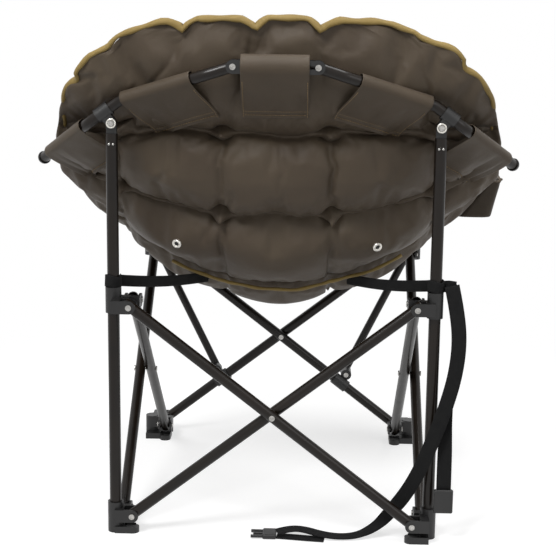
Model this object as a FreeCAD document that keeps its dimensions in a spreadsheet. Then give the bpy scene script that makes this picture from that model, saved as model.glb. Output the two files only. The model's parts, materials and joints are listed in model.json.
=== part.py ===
import FreeCAD, Part
import math
import os
import Sketcher
from FreeCAD import Placement, Rotation, Vector

# Padded folding camping chair: a four-sided scissor frame of steel tube, a hinged
# hoop behind the backrest and a padded bowl seat that hangs from both.
# Millimetres, +Z up, floor at z = 0, the sitter faces +Y, and the origin lies on
# the floor midway between the four feet.

doc = FreeCAD.newDocument("folding_chair")
sheet = doc.addObject("Spreadsheet::Sheet", "Sizes")

SIZES = [
    ("hub_half", 270, "chair middle to a corner's axis, along X and along Y"),
    ("pivot_reach", 30, "corner axis to the pivot of a scissor bar"),
    ("layer_gap", 20, "distance between two crossing bars"),
    ("end_layer", 5, "corner's axis out to the inner bar of the front and rear pairs"),
    ("side_layer", 10, "corner's axis in to the outer bar of a side pair"),
    ("foot_pivot", 32, "height of the lower pivots"),
    ("upper_pivot", 405, "height of the upper pivots, chair open"),
    ("post_od", 20, "rear post, outer diameter"),
    ("post_wall", 1.2, "rear post, wall"),
    ("post_foot", 8, "underside of a rear post above the floor"),
    ("post_top", 690, "top end of a rear post"),
    ("plug_stem", 30, "post plug inside its post"),
    ("bar_od", 19, "scissor bar and hoop tube, outer diameter"),
    ("bar_wall", 1.2, "scissor bar and hoop tube, wall"),
    ("bar_end", 11, "tube end beyond its pivot"),
    ("strut_od", 16, "front strut, outer diameter"),
    ("strut_len", 352, "front strut, pivot to tip"),
    ("strut_lean", 26, "front strut's lean from the vertical, degrees"),
    ("strut_share", 0.24, "strut bracket's place along its scissor bar"),
    ("strut_rise", 20, "strut pivot above its bar's axis"),
    ("strut_reach", 27, "strut axis in front of the outer front bar"),
    ("strut_play", 0.4, "strut to its bracket's lug"),
    ("strut_stem", 22, "strut end cap inside its tube"),
    ("tip_dome", 2, "end cap's dome, wider than its tube on each side"),
    ("pin_radius", 2.5, "rivet shank"),
    ("pin_play", 0.05, "running clearance of a rivet"),
    ("head_radius", 5, "rivet head"),
    ("head_height", 2, "rivet head"),
    ("head_play", 0.2, "rivet head to the stack that it holds"),
    ("cheek", 4, "wall of a fork"),
    ("cheek_play", 0.5, "tube to fork wall"),
    ("fork_radius", 11, "rounded end of a fork"),
    ("core_radius", 13.5, "round core of a corner fitting"),
    ("slide_play", 0.3, "post to collar"),
    ("seat_play", 0.1, "post to foot socket"),
    ("foot_height", 54, "rear foot socket"),
    ("sole_height", 12, "foot's flat sole"),
    ("collar_rise", 28, "collar above its pivots"),
    ("collar_drop", 16, "collar below its pivots"),
    ("post_pivot", 707, "hoop pivot above the floor"),
    ("hoop_offset", 22, "hoop tube's axis above that pivot"),
    ("hoop_slope", 36.5, "hoop tube's slope over the post, degrees"),
    ("knuckle_half", 68, "chair middle to a hoop knuckle"),
    ("knuckle_height", 804, "hoop knuckle above the floor"),
    ("knuckle_back", 320, "hoop knuckle behind the chair's middle"),
    ("inner_bend", 32, "bracket's middle to the inner bend"),
    ("knuckle_run", 44, "hoop tube straight behind its knuckle"),
    ("outer_bend", 28, "bracket's middle to the outer bend"),
    ("hoop_end_x", 405, "hoop end from the chair's middle"),
    ("hoop_end_y", -150, "hoop end along Y"),
    ("hoop_end_z", 635, "hoop end above the floor"),
    ("bend_radius", 34, "hoop tube's bends"),
    ("hoop_stem", 25, "hoop end cap inside its tube"),
    ("sleeve_len", 26, "bracket's sleeve along the hoop tube"),
    ("sleeve_wall", 3, "bracket's sleeve"),
    ("tongue", 8, "post plug's tongue, thickness"),
    ("ear_radius", 8.5, "round end of tongue and bracket ears"),
    ("slot_run", 13, "play of the right knuckle along the centre bar"),
    ("knuckle_depth", 1, "knuckle's pivot reach beyond a corner's"),
    ("knuckle_grip", 14, "knuckle's socket along the centre bar"),
    ("knuckle_floor", 4, "knuckle's floor between its socket and its fork"),
    ("web_width", 25, "closure webbing"),
    ("web_thick", 1.6, "closure webbing"),
    ("tie_width", 20, "seat tie webbing"),
    ("cloth_gap", 0.3, "soft pieces to what they lie on"),
    ("pad_thick", 52, "padding between the tufts"),
    ("pad_pinch", 12, "padding drawn in at a seam, each side"),
    ("flap_thick", 5, "hoop sleeve's cloth"),
    ("flap_drop", 52, "hoop sleeve below its tube"),
    ("flap_lean", 58, "flap's lower edge in from its tube, side sleeves"),
    ("centre_lean", 62, "flap's lower edge in from its tube, centre sleeve"),
    ("cloth_knuckle", 8, "inner sleeve to the bend at the knuckle"),
    ("cloth_post", 14, "inner sleeve to the bend at the post"),
    ("cloth_bend", 18, "outer sleeve to the hoop's outer bend"),
    ("cloth_tip", 4, "sleeve's end to the end cap or the knuckle"),
]
for row, (alias, value, note) in enumerate(SIZES, 1):
    sheet.set(f"A{row}", alias)
    sheet.set(f"B{row}", str(value))
    sheet.setAlias(f"B{row}", alias)
    sheet.set(f"C{row}", note)
doc.recompute()

X_AXIS = Vector(1, 0, 0)
Y_AXIS = Vector(0, 1, 0)
Z_AXIS = Vector(0, 0, 1)
SIDES = {"left": -1, "right": 1}
nodes = []


def size(alias):
    """A driving size, read from the sheet."""
    return float(sheet.get(alias))


def keep(obj, label):
    """Mark a document object as a finished sub-part of this name."""
    obj.Label = label
    nodes.append(obj)
    return obj


def frame_at(origin, along, pin):
    """A placement whose local Z runs along a tube and whose local X is its pin axis."""
    along = Vector(along).normalize()
    return Placement(origin, Rotation(pin, along.cross(pin), along, "ZXY"))


def bound(kind, name, place, **expressions):
    """A primitive whose sizes are bound to the sheet."""
    obj = doc.addObject(kind, name)
    for prop, expression in expressions.items():
        obj.setExpression(prop, expression)
    obj.Placement = place
    return obj


def cylinder(name, place, radius, height):
    return bound("Part::Cylinder", name, place, Radius=radius, Height=height)


def fuse(name, shapes):
    obj = doc.addObject("Part::MultiFuse", name)
    obj.Shapes = shapes
    obj.Refine = True
    return obj


def cut(name, base, tools):
    obj = doc.addObject("Part::Cut", name)
    obj.Base = base
    obj.Tool = tools[0] if len(tools) == 1 else fuse(name + "_cutters", tools)
    obj.Refine = True
    return obj


def group(name, shapes):
    obj = doc.addObject("Part::Compound", name)
    obj.Links = shapes
    return obj


def solid(name, shape):
    obj = doc.addObject("Part::Feature", name)
    obj.Shape = shape
    return obj


# Places that several pieces share

HUB = size("hub_half")
REACH = size("pivot_reach")
LOW = size("foot_pivot")
HIGH = size("upper_pivot")
INNER = HUB - REACH
PIN = size("pin_radius")
POST_PIVOT = size("post_pivot")
BAR_SPAN = "hypot(2 * (Sizes.hub_half - Sizes.pivot_reach); Sizes.upper_pivot - Sizes.foot_pivot)"
# How far a cutter reaches beyond what it cuts
OVER = 1

# The pairs at the rear and front lie outside the corners' axes, those at the sides
# inside them. Each bar: lower pivot, upper pivot, pin axis.
END_IN = HUB + size("end_layer")
END_OUT = END_IN + size("layer_gap")
SIDE_OUT = HUB - size("side_layer")
SIDE_IN = SIDE_OUT - size("layer_gap")
BARS = {
    "rear_bar_rising": (Vector(-INNER, -END_IN, LOW), Vector(INNER, -END_IN, HIGH), Y_AXIS),
    "rear_bar_falling": (Vector(INNER, -END_OUT, LOW), Vector(-INNER, -END_OUT, HIGH), Y_AXIS),
    "front_bar_rising": (Vector(-INNER, END_OUT, LOW), Vector(INNER, END_OUT, HIGH), Y_AXIS),
    "front_bar_falling": (Vector(INNER, END_IN, LOW), Vector(-INNER, END_IN, HIGH), Y_AXIS),
    "left_bar_rising": (Vector(-SIDE_OUT, -INNER, LOW), Vector(-SIDE_OUT, INNER, HIGH), X_AXIS),
    "left_bar_falling": (Vector(-SIDE_IN, INNER, LOW), Vector(-SIDE_IN, -INNER, HIGH), X_AXIS),
    "right_bar_rising": (Vector(SIDE_OUT, -INNER, LOW), Vector(SIDE_OUT, INNER, HIGH), X_AXIS),
    "right_bar_falling": (Vector(SIDE_IN, INNER, LOW), Vector(SIDE_IN, -INNER, HIGH), X_AXIS),
}
# On each side of the frame the rising bar carries the rivet at the crossing,
# which reaches towards the falling bar: +1 along the pin axis, or -1
CROSS_REACH = {"rear": -1, "front": -1, "left": 1, "right": -1}


def plane(body, role):
    """One of a body's own origin planes."""
    return next(f for f in body.Origin.OriginFeatures if f.Role == role)


def tube(label, place, outer, wall, length, holes):
    """A straight round tube along local Z, cross-drilled along local X at the given heights."""
    body = doc.addObject("PartDesign::Body", label)
    ring = body.newObject("Sketcher::SketchObject", label + "_ring")
    ring.AttachmentSupport = [(plane(body, "XY_Plane"), "")]
    ring.MapMode = "FlatFace"
    for index, radius in enumerate((f"{outer} / 2", f"{outer} / 2 - {wall}")):
        ring.addGeometry(Part.Circle(Vector(), Z_AXIS, 10 - index), False)
        ring.addConstraint(Sketcher.Constraint("Coincident", index, 3, -1, 1))
        ring.addConstraint(Sketcher.Constraint("Radius", index, 10 - index))
        ring.setExpression(f"Constraints[{2 * index + 1}]", radius)
    pad = body.newObject("PartDesign::Pad", label + "_length")
    pad.Profile = ring
    pad.setExpression("Length", length)
    if holes:
        drill = body.newObject("Sketcher::SketchObject", label + "_holes")
        drill.AttachmentSupport = [(plane(body, "YZ_Plane"), "")]
        drill.MapMode = "FlatFace"
        for index, height in enumerate(holes):
            drill.addGeometry(Part.Circle(Vector(0, 20 * index + 1, 0), Z_AXIS, PIN), False)
            drill.addConstraint(Sketcher.Constraint("PointOnObject", index, 3, -2))
            drill.addConstraint(Sketcher.Constraint("Radius", index, PIN))
            drill.addConstraint(Sketcher.Constraint("DistanceY", -1, 1, index, 3, 20 * index + 1))
            drill.setExpression(f"Constraints[{3 * index + 1}]", "Sizes.pin_radius + Sizes.pin_play")
            drill.setExpression(f"Constraints[{3 * index + 2}]", height)
        pocket = body.newObject("PartDesign::Pocket", label + "_drilled")
        pocket.Profile = drill
        pocket.Type = "ThroughAll"
        pocket.Midplane = True
    body.Placement = place
    return body


def rivet(name, middle, axis, grip):
    """A shank with a round head at each end; grip is the stack that it holds."""
    half = f"({grip}) / 2"
    length = f"{grip} + 2 * Sizes.head_height"
    turned = Placement(middle, Rotation(Z_AXIS, axis))
    shank = cylinder(name + "_shank", turned, "Sizes.pin_radius", length)
    pieces = [shank]
    for end in (-1, 1):
        head = cylinder(name + "_head", turned, "Sizes.head_radius", "Sizes.head_height")
        pieces.append(head)
        head.addProperty("App::PropertyFloat", "Slide")
        head.setExpression("Slide", f"{end} * {half} + ({end} - 1) / 2 * Sizes.head_height")
    shank.addProperty("App::PropertyFloat", "Slide")
    shank.setExpression("Slide", f"-{half} - Sizes.head_height")
    doc.recompute()
    for piece in pieces:
        piece.Placement = Placement(middle + Vector(axis) * piece.Slide, turned.Rotation)
    return fuse(name, pieces)


# The widths that a rivet grips, as sheet expressions
FORK_GAP = "(Sizes.bar_od + 2 * Sizes.cheek_play)"
FORK_WIDTH = f"({FORK_GAP} + 2 * Sizes.cheek)"
FORK_GRIP = f"({FORK_WIDTH} + 2 * Sizes.head_play)"
CROSS_GRIP = "(Sizes.bar_od + Sizes.layer_gap + 2 * Sizes.head_play)"
EAR_GAP = "(Sizes.tongue + Sizes.cheek_play)"
EAR_WIDTH = f"({EAR_GAP} + 2 * Sizes.cheek)"
EAR_GRIP = f"({EAR_WIDTH} + 2 * Sizes.head_play)"
PIN_HOLE = "Sizes.pin_radius + Sizes.pin_play"
HEAD_ROOM = "Sizes.head_radius + Sizes.cheek_play"


def scissor_bar(label):
    """One scissor tube with the rivets that it carries."""
    low, high, pin = BARS[label]
    side, kind = label.split("_bar_")
    along = (high - low).normalize()
    place = frame_at(low - along * size("bar_end"), along, pin)
    length = f"{BAR_SPAN} + 2 * Sizes.bar_end"
    holes = ["Sizes.bar_end", f"Sizes.bar_end + {BAR_SPAN} / 2", f"Sizes.bar_end + {BAR_SPAN}"]
    keep(tube(label, place, "Sizes.bar_od", "Sizes.bar_wall", length, holes), label)
    rivets = [rivet(label + "_end", point, pin, FORK_GRIP) for point in (low, high)]
    if kind == "rising":
        middle = (low + high) / 2 + pin * (size("layer_gap") / 2 * CROSS_REACH[side])
        rivets.append(rivet(label + "_cross", middle, pin, CROSS_GRIP))
    return rivets, along


# A fork's arms start this deep inside the round core, and its slot this far outside
CORE_LAP = 1.5


def fork(name, axis_point, turn, sideways):
    """A two-cheeked fork that reaches out of a corner fitting: its solid and its cutters.

    Local X points outwards, local Y is the pivot's axis and sideways is the bar's layer."""
    turned = Rotation(Z_AXIS, turn)

    def local(x, y, z):
        return Placement(axis_point + turned.multVec(Vector(x, y, z)), turned)

    half = (size("bar_od") + 2 * size("cheek_play") + 2 * size("cheek")) / 2
    gap = half - size("cheek")
    radius = size("fork_radius")
    arm_from = size("core_radius") - CORE_LAP
    slot_from = size("core_radius") + CORE_LAP
    arm = bound("Part::Box", name + "_arm", local(arm_from, sideways - half, -radius),
                Length=f"Sizes.pivot_reach - {arm_from}", Width=FORK_WIDTH,
                Height="2 * Sizes.fork_radius")
    reach_low = min(sideways - half, 0)
    reach_high = max(sideways + half, 0)
    reach_width = f"{reach_high - reach_low:.6f}"
    web = bound("Part::Box", name + "_web", local(0, reach_low, -radius),
                Length=str(slot_from), Width=reach_width, Height="2 * Sizes.fork_radius")
    lying = turned.multiply(Rotation(X_AXIS, -90))
    end_at = local(REACH, sideways - half, 0).Base
    end = cylinder(name + "_end", Placement(end_at, lying), "Sizes.fork_radius", FORK_WIDTH)
    slot = bound("Part::Box", name + "_slot", local(slot_from, sideways - gap, -2 * radius),
                 Length="2 * Sizes.pivot_reach", Width=FORK_GAP, Height="4 * Sizes.fork_radius")
    hole_at = local(REACH, sideways - half - OVER, 0).Base
    hole = cylinder(name + "_hole", Placement(hole_at, lying), PIN_HOLE, f"{FORK_WIDTH} + {2 * OVER}")
    relief_at = local(REACH, sideways - half - reach_high + reach_low, 0).Base
    below = cylinder(name + "_below", Placement(relief_at, lying), HEAD_ROOM, reach_width)
    above_at = local(REACH, sideways + half, 0).Base
    above = cylinder(name + "_above", Placement(above_at, lying), HEAD_ROOM, reach_width)
    return [arm, web, end], [slot, hole, below, above]


def corner(label, x_sign, y_sign, low, high, x_layer, y_layer, pivot, bore=None, sole=False):
    """A moulded corner fitting: a round core, a fork towards each neighbour and a sole or a bore.

    x_layer and y_layer are the layers of the bars along X and along Y."""
    axis_point = Vector(x_sign * HUB, y_sign * HUB, pivot)
    base = axis_point + Vector(0, 0, -pivot + low)
    height = f"{high - low:.6f}"
    core = cylinder(label + "_core", Placement(base, Rotation()), "Sizes.core_radius", height)
    x_turn = 180 if x_sign > 0 else 0
    y_turn = 270 if y_sign > 0 else 90
    x_side = (x_layer - y_sign * HUB) * (1 if x_turn == 0 else -1)
    y_side = (y_layer - x_sign * HUB) * (-1 if y_turn == 90 else 1)
    x_solid, x_cut = fork(label + "_x", axis_point, x_turn, x_side)
    y_solid, y_cut = fork(label + "_y", axis_point, y_turn, y_side)
    solids = [core] + x_solid + y_solid
    if sole:
        for axis, turn, side in (("x", x_turn, x_side), ("y", y_turn, y_side)):
            name = f"{label}_sole_{axis}"
            turned = Rotation(Z_AXIS, turn)
            half = size("fork_radius")
            low_side = min(side - half, -half)
            high_side = max(side + half, half)
            start = base + turned.multVec(Vector(0, low_side, 0))
            solids.append(bound("Part::Box", name, Placement(start, turned),
                                Length="Sizes.pivot_reach", Width=f"{high_side - low_side:.6f}",
                                Height="Sizes.sole_height"))
            toe = base + turned.multVec(Vector(REACH, side, 0))
            solids.append(cylinder(name + "_toe", Placement(toe, Rotation()),
                                   "Sizes.fork_radius", "Sizes.sole_height"))
    cutters = x_cut + y_cut
    if bore:
        radius, depth = bore
        cutters.append(cylinder(label + "_bore", Placement(base + Vector(0, 0, depth), Rotation()),
                                radius, f"{height} + {OVER}"))
    body = fuse(label + "_body", solids)
    return keep(cut(label, body, cutters), label)


# Scissor frame

STRUT_PLANE = END_OUT + size("strut_reach")
for bar_name in BARS:
    bar_rivets, bar_along = scissor_bar(bar_name)
    if bar_name.startswith("front"):
        strut_side = "left" if bar_name.endswith("rising") else "right"
        sign = SIDES[strut_side]
        bar_low, bar_high, bar_pin = BARS[bar_name]
        up = Vector(sign * bar_along.z, 0, abs(bar_along.x))
        strut_foot = bar_low + (bar_high - bar_low) * size("strut_share") + up * size("strut_rise")
        strut_foot.y = STRUT_PLANE
        lug_back = bar_low.y
        lug_face = STRUT_PLANE - size("strut_od") / 2 - size("strut_play")
        sleeve_at = bar_low + (bar_high - bar_low) * size("strut_share")
        name = f"strut_bracket_{strut_side}"
        length = size("fork_radius") * 3
        wrap_from = sleeve_at - bar_along * (length / 2)
        wrap = cylinder(name + "_wrap", frame_at(wrap_from, bar_along, bar_pin),
                        "Sizes.bar_od / 2 + Sizes.sleeve_wall", "3 * Sizes.fork_radius")
        bore = cylinder(name + "_bore", frame_at(sleeve_at - bar_along * length, bar_along, bar_pin),
                        "Sizes.bar_od / 2 + Sizes.seat_play", "6 * Sizes.fork_radius")
        forward = Rotation(Z_AXIS, Y_AXIS)
        depth = f"{lug_face - lug_back:.6f}"
        lug_end = Vector(strut_foot.x, lug_back, strut_foot.z)
        lug = cylinder(name + "_lug", Placement(lug_end, forward), "Sizes.fork_radius", depth)
        hole = cylinder(name + "_hole", Placement(lug_end - Y_AXIS * OVER, forward),
                        PIN_HOLE, f"{depth} + {2 * OVER}")
        keep(cut(name, fuse(name + "_body", [wrap, lug]), [bore, hole]), name)
        stack = f"({depth} + Sizes.strut_od + 2 * Sizes.strut_play)"
        stack_middle = (lug_back + STRUT_PLANE + size("strut_od") / 2) / 2
        pin_middle = Vector(strut_foot.x, stack_middle, strut_foot.z)
        bar_rivets.append(rivet(name + "_pin", pin_middle, Y_AXIS, stack))
        lean = math.radians(size("strut_lean"))
        strut_dir = Vector(sign * math.sin(lean), 0, math.cos(lean))
        strut = tube(f"strut_{strut_side}",
                     frame_at(strut_foot - strut_dir * size("bar_end"), strut_dir, Y_AXIS),
                     "Sizes.strut_od", "Sizes.bar_wall", "Sizes.strut_len + Sizes.bar_end",
                     ["Sizes.bar_end"])
        keep(strut, f"strut_{strut_side}")
        tip_at = strut_foot + strut_dir * size("strut_len")
        tip_name = f"strut_tip_{strut_side}"
        ball = bound("Part::Sphere", tip_name + "_ball", Placement(tip_at, Rotation()),
                     Radius="Sizes.strut_od / 2 + Sizes.tip_dome")
        stem_from = tip_at - strut_dir * size("strut_stem")
        stem = cylinder(tip_name + "_stem", frame_at(stem_from, strut_dir, Y_AXIS),
                        "Sizes.strut_od / 2 - Sizes.bar_wall - Sizes.seat_play",
                        "Sizes.strut_stem + Sizes.tip_dome")
        hollow = cylinder(tip_name + "_seat", frame_at(stem_from, strut_dir, Y_AXIS),
                          "Sizes.strut_od", "Sizes.strut_stem")
        keep(fuse(tip_name, [cut(tip_name + "_dome", ball, [hollow]), stem]), tip_name)
    keep(group(bar_name + "_rivets", bar_rivets), bar_name + "_rivets")

FOOT_TOP = size("foot_height")
COLLAR_LOW = HIGH - size("collar_drop")
COLLAR_TOP = HIGH + size("collar_rise")
FOOT_BORE = ("Sizes.post_od / 2 + Sizes.seat_play", size("post_foot") - 0.1)
SLIDE_BORE = ("Sizes.post_od / 2 + Sizes.slide_play", -0.5)
corner("foot_rear_left", -1, -1, 0, FOOT_TOP, -END_IN, -SIDE_OUT, LOW, bore=FOOT_BORE, sole=True)
corner("foot_rear_right", 1, -1, 0, FOOT_TOP, -END_OUT, SIDE_OUT, LOW, bore=FOOT_BORE, sole=True)
corner("collar_left", -1, -1, COLLAR_LOW, COLLAR_TOP, -END_OUT, -SIDE_IN, HIGH, bore=SLIDE_BORE)
corner("collar_right", 1, -1, COLLAR_LOW, COLLAR_TOP, -END_IN, SIDE_IN, HIGH, bore=SLIDE_BORE)
corner("foot_front_left", -1, 1, 0, FOOT_TOP - REACH / 3, END_OUT, -SIDE_IN, LOW, sole=True)
corner("foot_front_right", 1, 1, 0, FOOT_TOP - REACH / 3, END_IN, SIDE_IN, LOW, sole=True)
corner("hub_front_left", -1, 1, COLLAR_LOW, COLLAR_TOP - REACH / 3, END_IN, -SIDE_OUT, HIGH)
corner("hub_front_right", 1, 1, COLLAR_LOW, COLLAR_TOP - REACH / 3, END_OUT, SIDE_OUT, HIGH)


# Rear posts and their plugs

for side, sign in SIDES.items():
    foot_at = Vector(sign * HUB, -HUB, size("post_foot"))
    post = tube(f"post_{side}", Placement(foot_at, Rotation()), "Sizes.post_od", "Sizes.post_wall",
                "Sizes.post_top - Sizes.post_foot", [])
    keep(post, f"post_{side}")
    name = f"post_plug_{side}"
    top = Vector(sign * HUB, -HUB, size("post_top"))
    pivot = Vector(sign * HUB, -HUB, POST_PIVOT)
    stem = cylinder(name + "_stem", Placement(top - Z_AXIS * size("plug_stem"), Rotation()),
                    "Sizes.post_od / 2 - Sizes.post_wall - Sizes.seat_play", "Sizes.plug_stem")
    half = size("tongue") / 2
    tongue = bound("Part::Box", name + "_tongue",
                   Placement(top + Vector(-size("ear_radius"), -half, 0), Rotation()),
                   Length="2 * Sizes.ear_radius", Width="Sizes.tongue",
                   Height="Sizes.post_pivot - Sizes.post_top")
    back = Rotation(Z_AXIS, Y_AXIS)
    crown = cylinder(name + "_crown", Placement(pivot - Y_AXIS * half, back),
                     "Sizes.ear_radius", "Sizes.tongue")
    hole = cylinder(name + "_hole", Placement(pivot - Y_AXIS * (half + OVER), back),
                    PIN_HOLE, f"Sizes.tongue + {2 * OVER}")
    keep(cut(name, fuse(name + "_body", [stem, tongue, crown]), [hole]), name)


# Hoop behind the backrest

def bent_tube(path, outer, inner, radius):
    """A round tube along straight runs with tangent arcs of one radius at the corners."""
    edges = []
    start = path[0]
    for before, at, after in zip(path, path[1:], path[2:]):
        come = (at - before).normalize()
        go = (after - at).normalize()
        half_turn = come.getAngle(go) / 2
        setback = radius * math.tan(half_turn)
        first = at - come * setback
        last = at + go * setback
        centre_way = (go - come).normalize()
        middle = at + centre_way * (radius / math.cos(half_turn) - radius)
        edges.append(Part.LineSegment(start, first).toShape())
        edges.append(Part.Arc(first, middle, last).toShape())
        start = last
    edges.append(Part.LineSegment(start, path[-1]).toShape())
    spine = Part.Wire(edges)
    heading = (path[1] - path[0]).normalize()
    shells = []
    for pipe_radius in (outer, inner):
        ring = Part.Wire(Part.Circle(path[0], heading, pipe_radius).toShape())
        shells.append(spine.makePipeShell([ring], True, False))
    return shells[0].cut(shells[1])


def hoop_cloth(name, start, end, inner, lean):
    """A cloth sleeve round a straight run of hoop tube; its flap hangs down and leans to the bowl."""
    along = (end - start).normalize()
    down = (Vector(0, 0, -1) - along * along.dot(Vector(0, 0, -1))).normalize()
    back = down.cross(along).normalize()
    if back.y > 0:
        back = back.negative()
    length = (end - start).Length
    outer = inner + size("flap_thick") / 2
    wrap = Part.makeCylinder(outer, length, start, along)
    flap = Part.Face(Part.makePolygon([
        start + back * (outer - size("flap_thick")),
        start + back * outer,
        start + back * (outer - lean) + down * size("flap_drop"),
        start + back * (outer - lean - size("flap_thick")) + down * size("flap_drop"),
        start + back * (outer - size("flap_thick")),
    ])).extrude(along * length)
    bore = Part.makeCylinder(inner, length + 2, start - along, along)
    return solid(name, wrap.fuse(flap).cut(bore).removeSplitter())


sleeves = {}
CLOTH_BORE = size("bar_od") / 2 + size("cheek_play")
slope = math.radians(size("hoop_slope"))
for side, sign in SIDES.items():
    pivot = Vector(sign * HUB, -HUB, POST_PIVOT)
    outward = Vector(sign * math.cos(slope), 0, -math.sin(slope))
    upward = Vector(sign * math.sin(slope), 0, math.cos(slope))
    over_post = pivot + upward * size("hoop_offset")
    knuckle = Vector(sign * size("knuckle_half"), -size("knuckle_back"), size("knuckle_height"))
    inner_bend = over_post - outward * size("inner_bend")
    outer_bend = over_post + outward * size("outer_bend")
    hoop_end = Vector(sign * size("hoop_end_x"), size("hoop_end_y"), size("hoop_end_z"))
    level = Vector(knuckle.x - inner_bend.x, 0, knuckle.z - inner_bend.z).normalize()
    tube_end = knuckle + level * size("bar_end")
    knuckle_bend = knuckle - level * size("knuckle_run")
    inner_dir = (knuckle_bend - inner_bend).normalize()
    hoop = bent_tube([tube_end, knuckle_bend, inner_bend, outer_bend, hoop_end],
                     size("bar_od") / 2, size("bar_od") / 2 - size("bar_wall"), size("bend_radius"))
    drilled = hoop.cut(Part.makeCylinder(PIN + size("pin_play"), 2 * size("bar_od"),
                                         knuckle - Y_AXIS * size("bar_od"), Y_AXIS))
    keep(solid(f"back_bar_{side}", drilled), f"back_bar_{side}")

    name = f"post_bracket_{side}"
    ear_half = size("tongue") / 2 + size("cheek_play") / 2 + size("cheek")
    back = Rotation(Z_AXIS, Y_AXIS)
    wrap_from = over_post - outward * (size("sleeve_len") / 2)
    wrap = cylinder(name + "_wrap", frame_at(wrap_from, outward, Y_AXIS),
                    "Sizes.bar_od / 2 + Sizes.sleeve_wall", "Sizes.sleeve_len")
    ear_turn = Rotation(outward, Y_AXIS, outward.cross(Y_AXIS), "YXZ")
    ear_from = pivot - outward * size("ear_radius") - Y_AXIS * ear_half
    if outward.cross(Y_AXIS).z < 0:
        ear_from = ear_from + upward * size("hoop_offset")
    ears = bound("Part::Box", name + "_ears", Placement(ear_from, ear_turn),
                 Length="2 * Sizes.ear_radius", Width=EAR_WIDTH, Height="Sizes.hoop_offset")
    lobe = cylinder(name + "_lobe", Placement(pivot - Y_AXIS * ear_half, back),
                    "Sizes.ear_radius", EAR_WIDTH)
    slot = cylinder(name + "_slot", Placement(pivot - Y_AXIS * (ear_half - size("cheek")), back),
                    "Sizes.hoop_offset - Sizes.bar_od / 2 - Sizes.sleeve_wall - 2 * Sizes.seat_play",
                    EAR_GAP)
    gap_top = size("hoop_offset") - size("bar_od") / 2 - size("sleeve_wall") - size("cloth_gap")
    gap_from = pivot - outward * (size("ear_radius") + OVER) - Y_AXIS * (ear_half - size("cheek"))
    if outward.cross(Y_AXIS).z < 0:
        gap_from = gap_from + upward * gap_top
    else:
        gap_from = gap_from - upward * size("ear_radius")
    gap = bound("Part::Box", name + "_gap", Placement(gap_from, ear_turn),
                Length=f"2 * Sizes.ear_radius + {2 * OVER}", Width=EAR_GAP,
                Height=f"{gap_top:.6f} + Sizes.ear_radius")
    bore = cylinder(name + "_bore", frame_at(wrap_from - outward * OVER, outward, Y_AXIS),
                    "Sizes.bar_od / 2 + Sizes.seat_play", f"Sizes.sleeve_len + {2 * OVER}")
    hole = cylinder(name + "_hole", Placement(pivot - Y_AXIS * (ear_half + OVER), back),
                    PIN_HOLE, f"{EAR_WIDTH} + {2 * OVER}")
    keep(cut(name, fuse(name + "_body", [wrap, ears, lobe]), [slot, gap, bore, hole]), name)

    post_pin = rivet(name + "_rivet", pivot, Y_AXIS, EAR_GRIP)
    knuckle_pin = rivet(f"knuckle_{side}_rivet", knuckle, Y_AXIS, FORK_GRIP)
    keep(group(f"back_bar_rivets_{side}", [post_pin, knuckle_pin]), f"back_bar_rivets_{side}")

    name = f"hoop_tip_{side}"
    tip_dir = (hoop_end - outer_bend).normalize()
    tip_place = frame_at(hoop_end - tip_dir * size("hoop_stem"), tip_dir, tip_dir.cross(Z_AXIS).normalize())
    ball = bound("Part::Sphere", name + "_ball", Placement(hoop_end, Rotation()),
                 Radius="Sizes.bar_od / 2 + Sizes.tip_dome")
    seat = cylinder(name + "_seat", tip_place, "Sizes.bar_od", "Sizes.hoop_stem")
    stem = cylinder(name + "_stem", tip_place, "Sizes.bar_od / 2 - Sizes.bar_wall - Sizes.seat_play",
                    "Sizes.hoop_stem + Sizes.tip_dome")
    keep(fuse(name, [cut(name + "_dome", ball, [seat]), stem]), name)

    cloth_runs = {
        "inner": (knuckle_bend - inner_dir * size("cloth_knuckle"),
                  inner_bend + inner_dir * size("cloth_post")),
        "outer": (outer_bend + tip_dir * size("cloth_bend"), hoop_end - tip_dir * size("cloth_tip")),
    }
    for run_name, (run_start, run_end) in cloth_runs.items():
        label = f"{run_name}_sleeve_{side}"
        sleeves[label] = hoop_cloth(f"{label}_cloth", run_start, run_end, CLOTH_BORE, size("flap_lean"))


# Centre bar with a knuckle fork at each end

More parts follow.
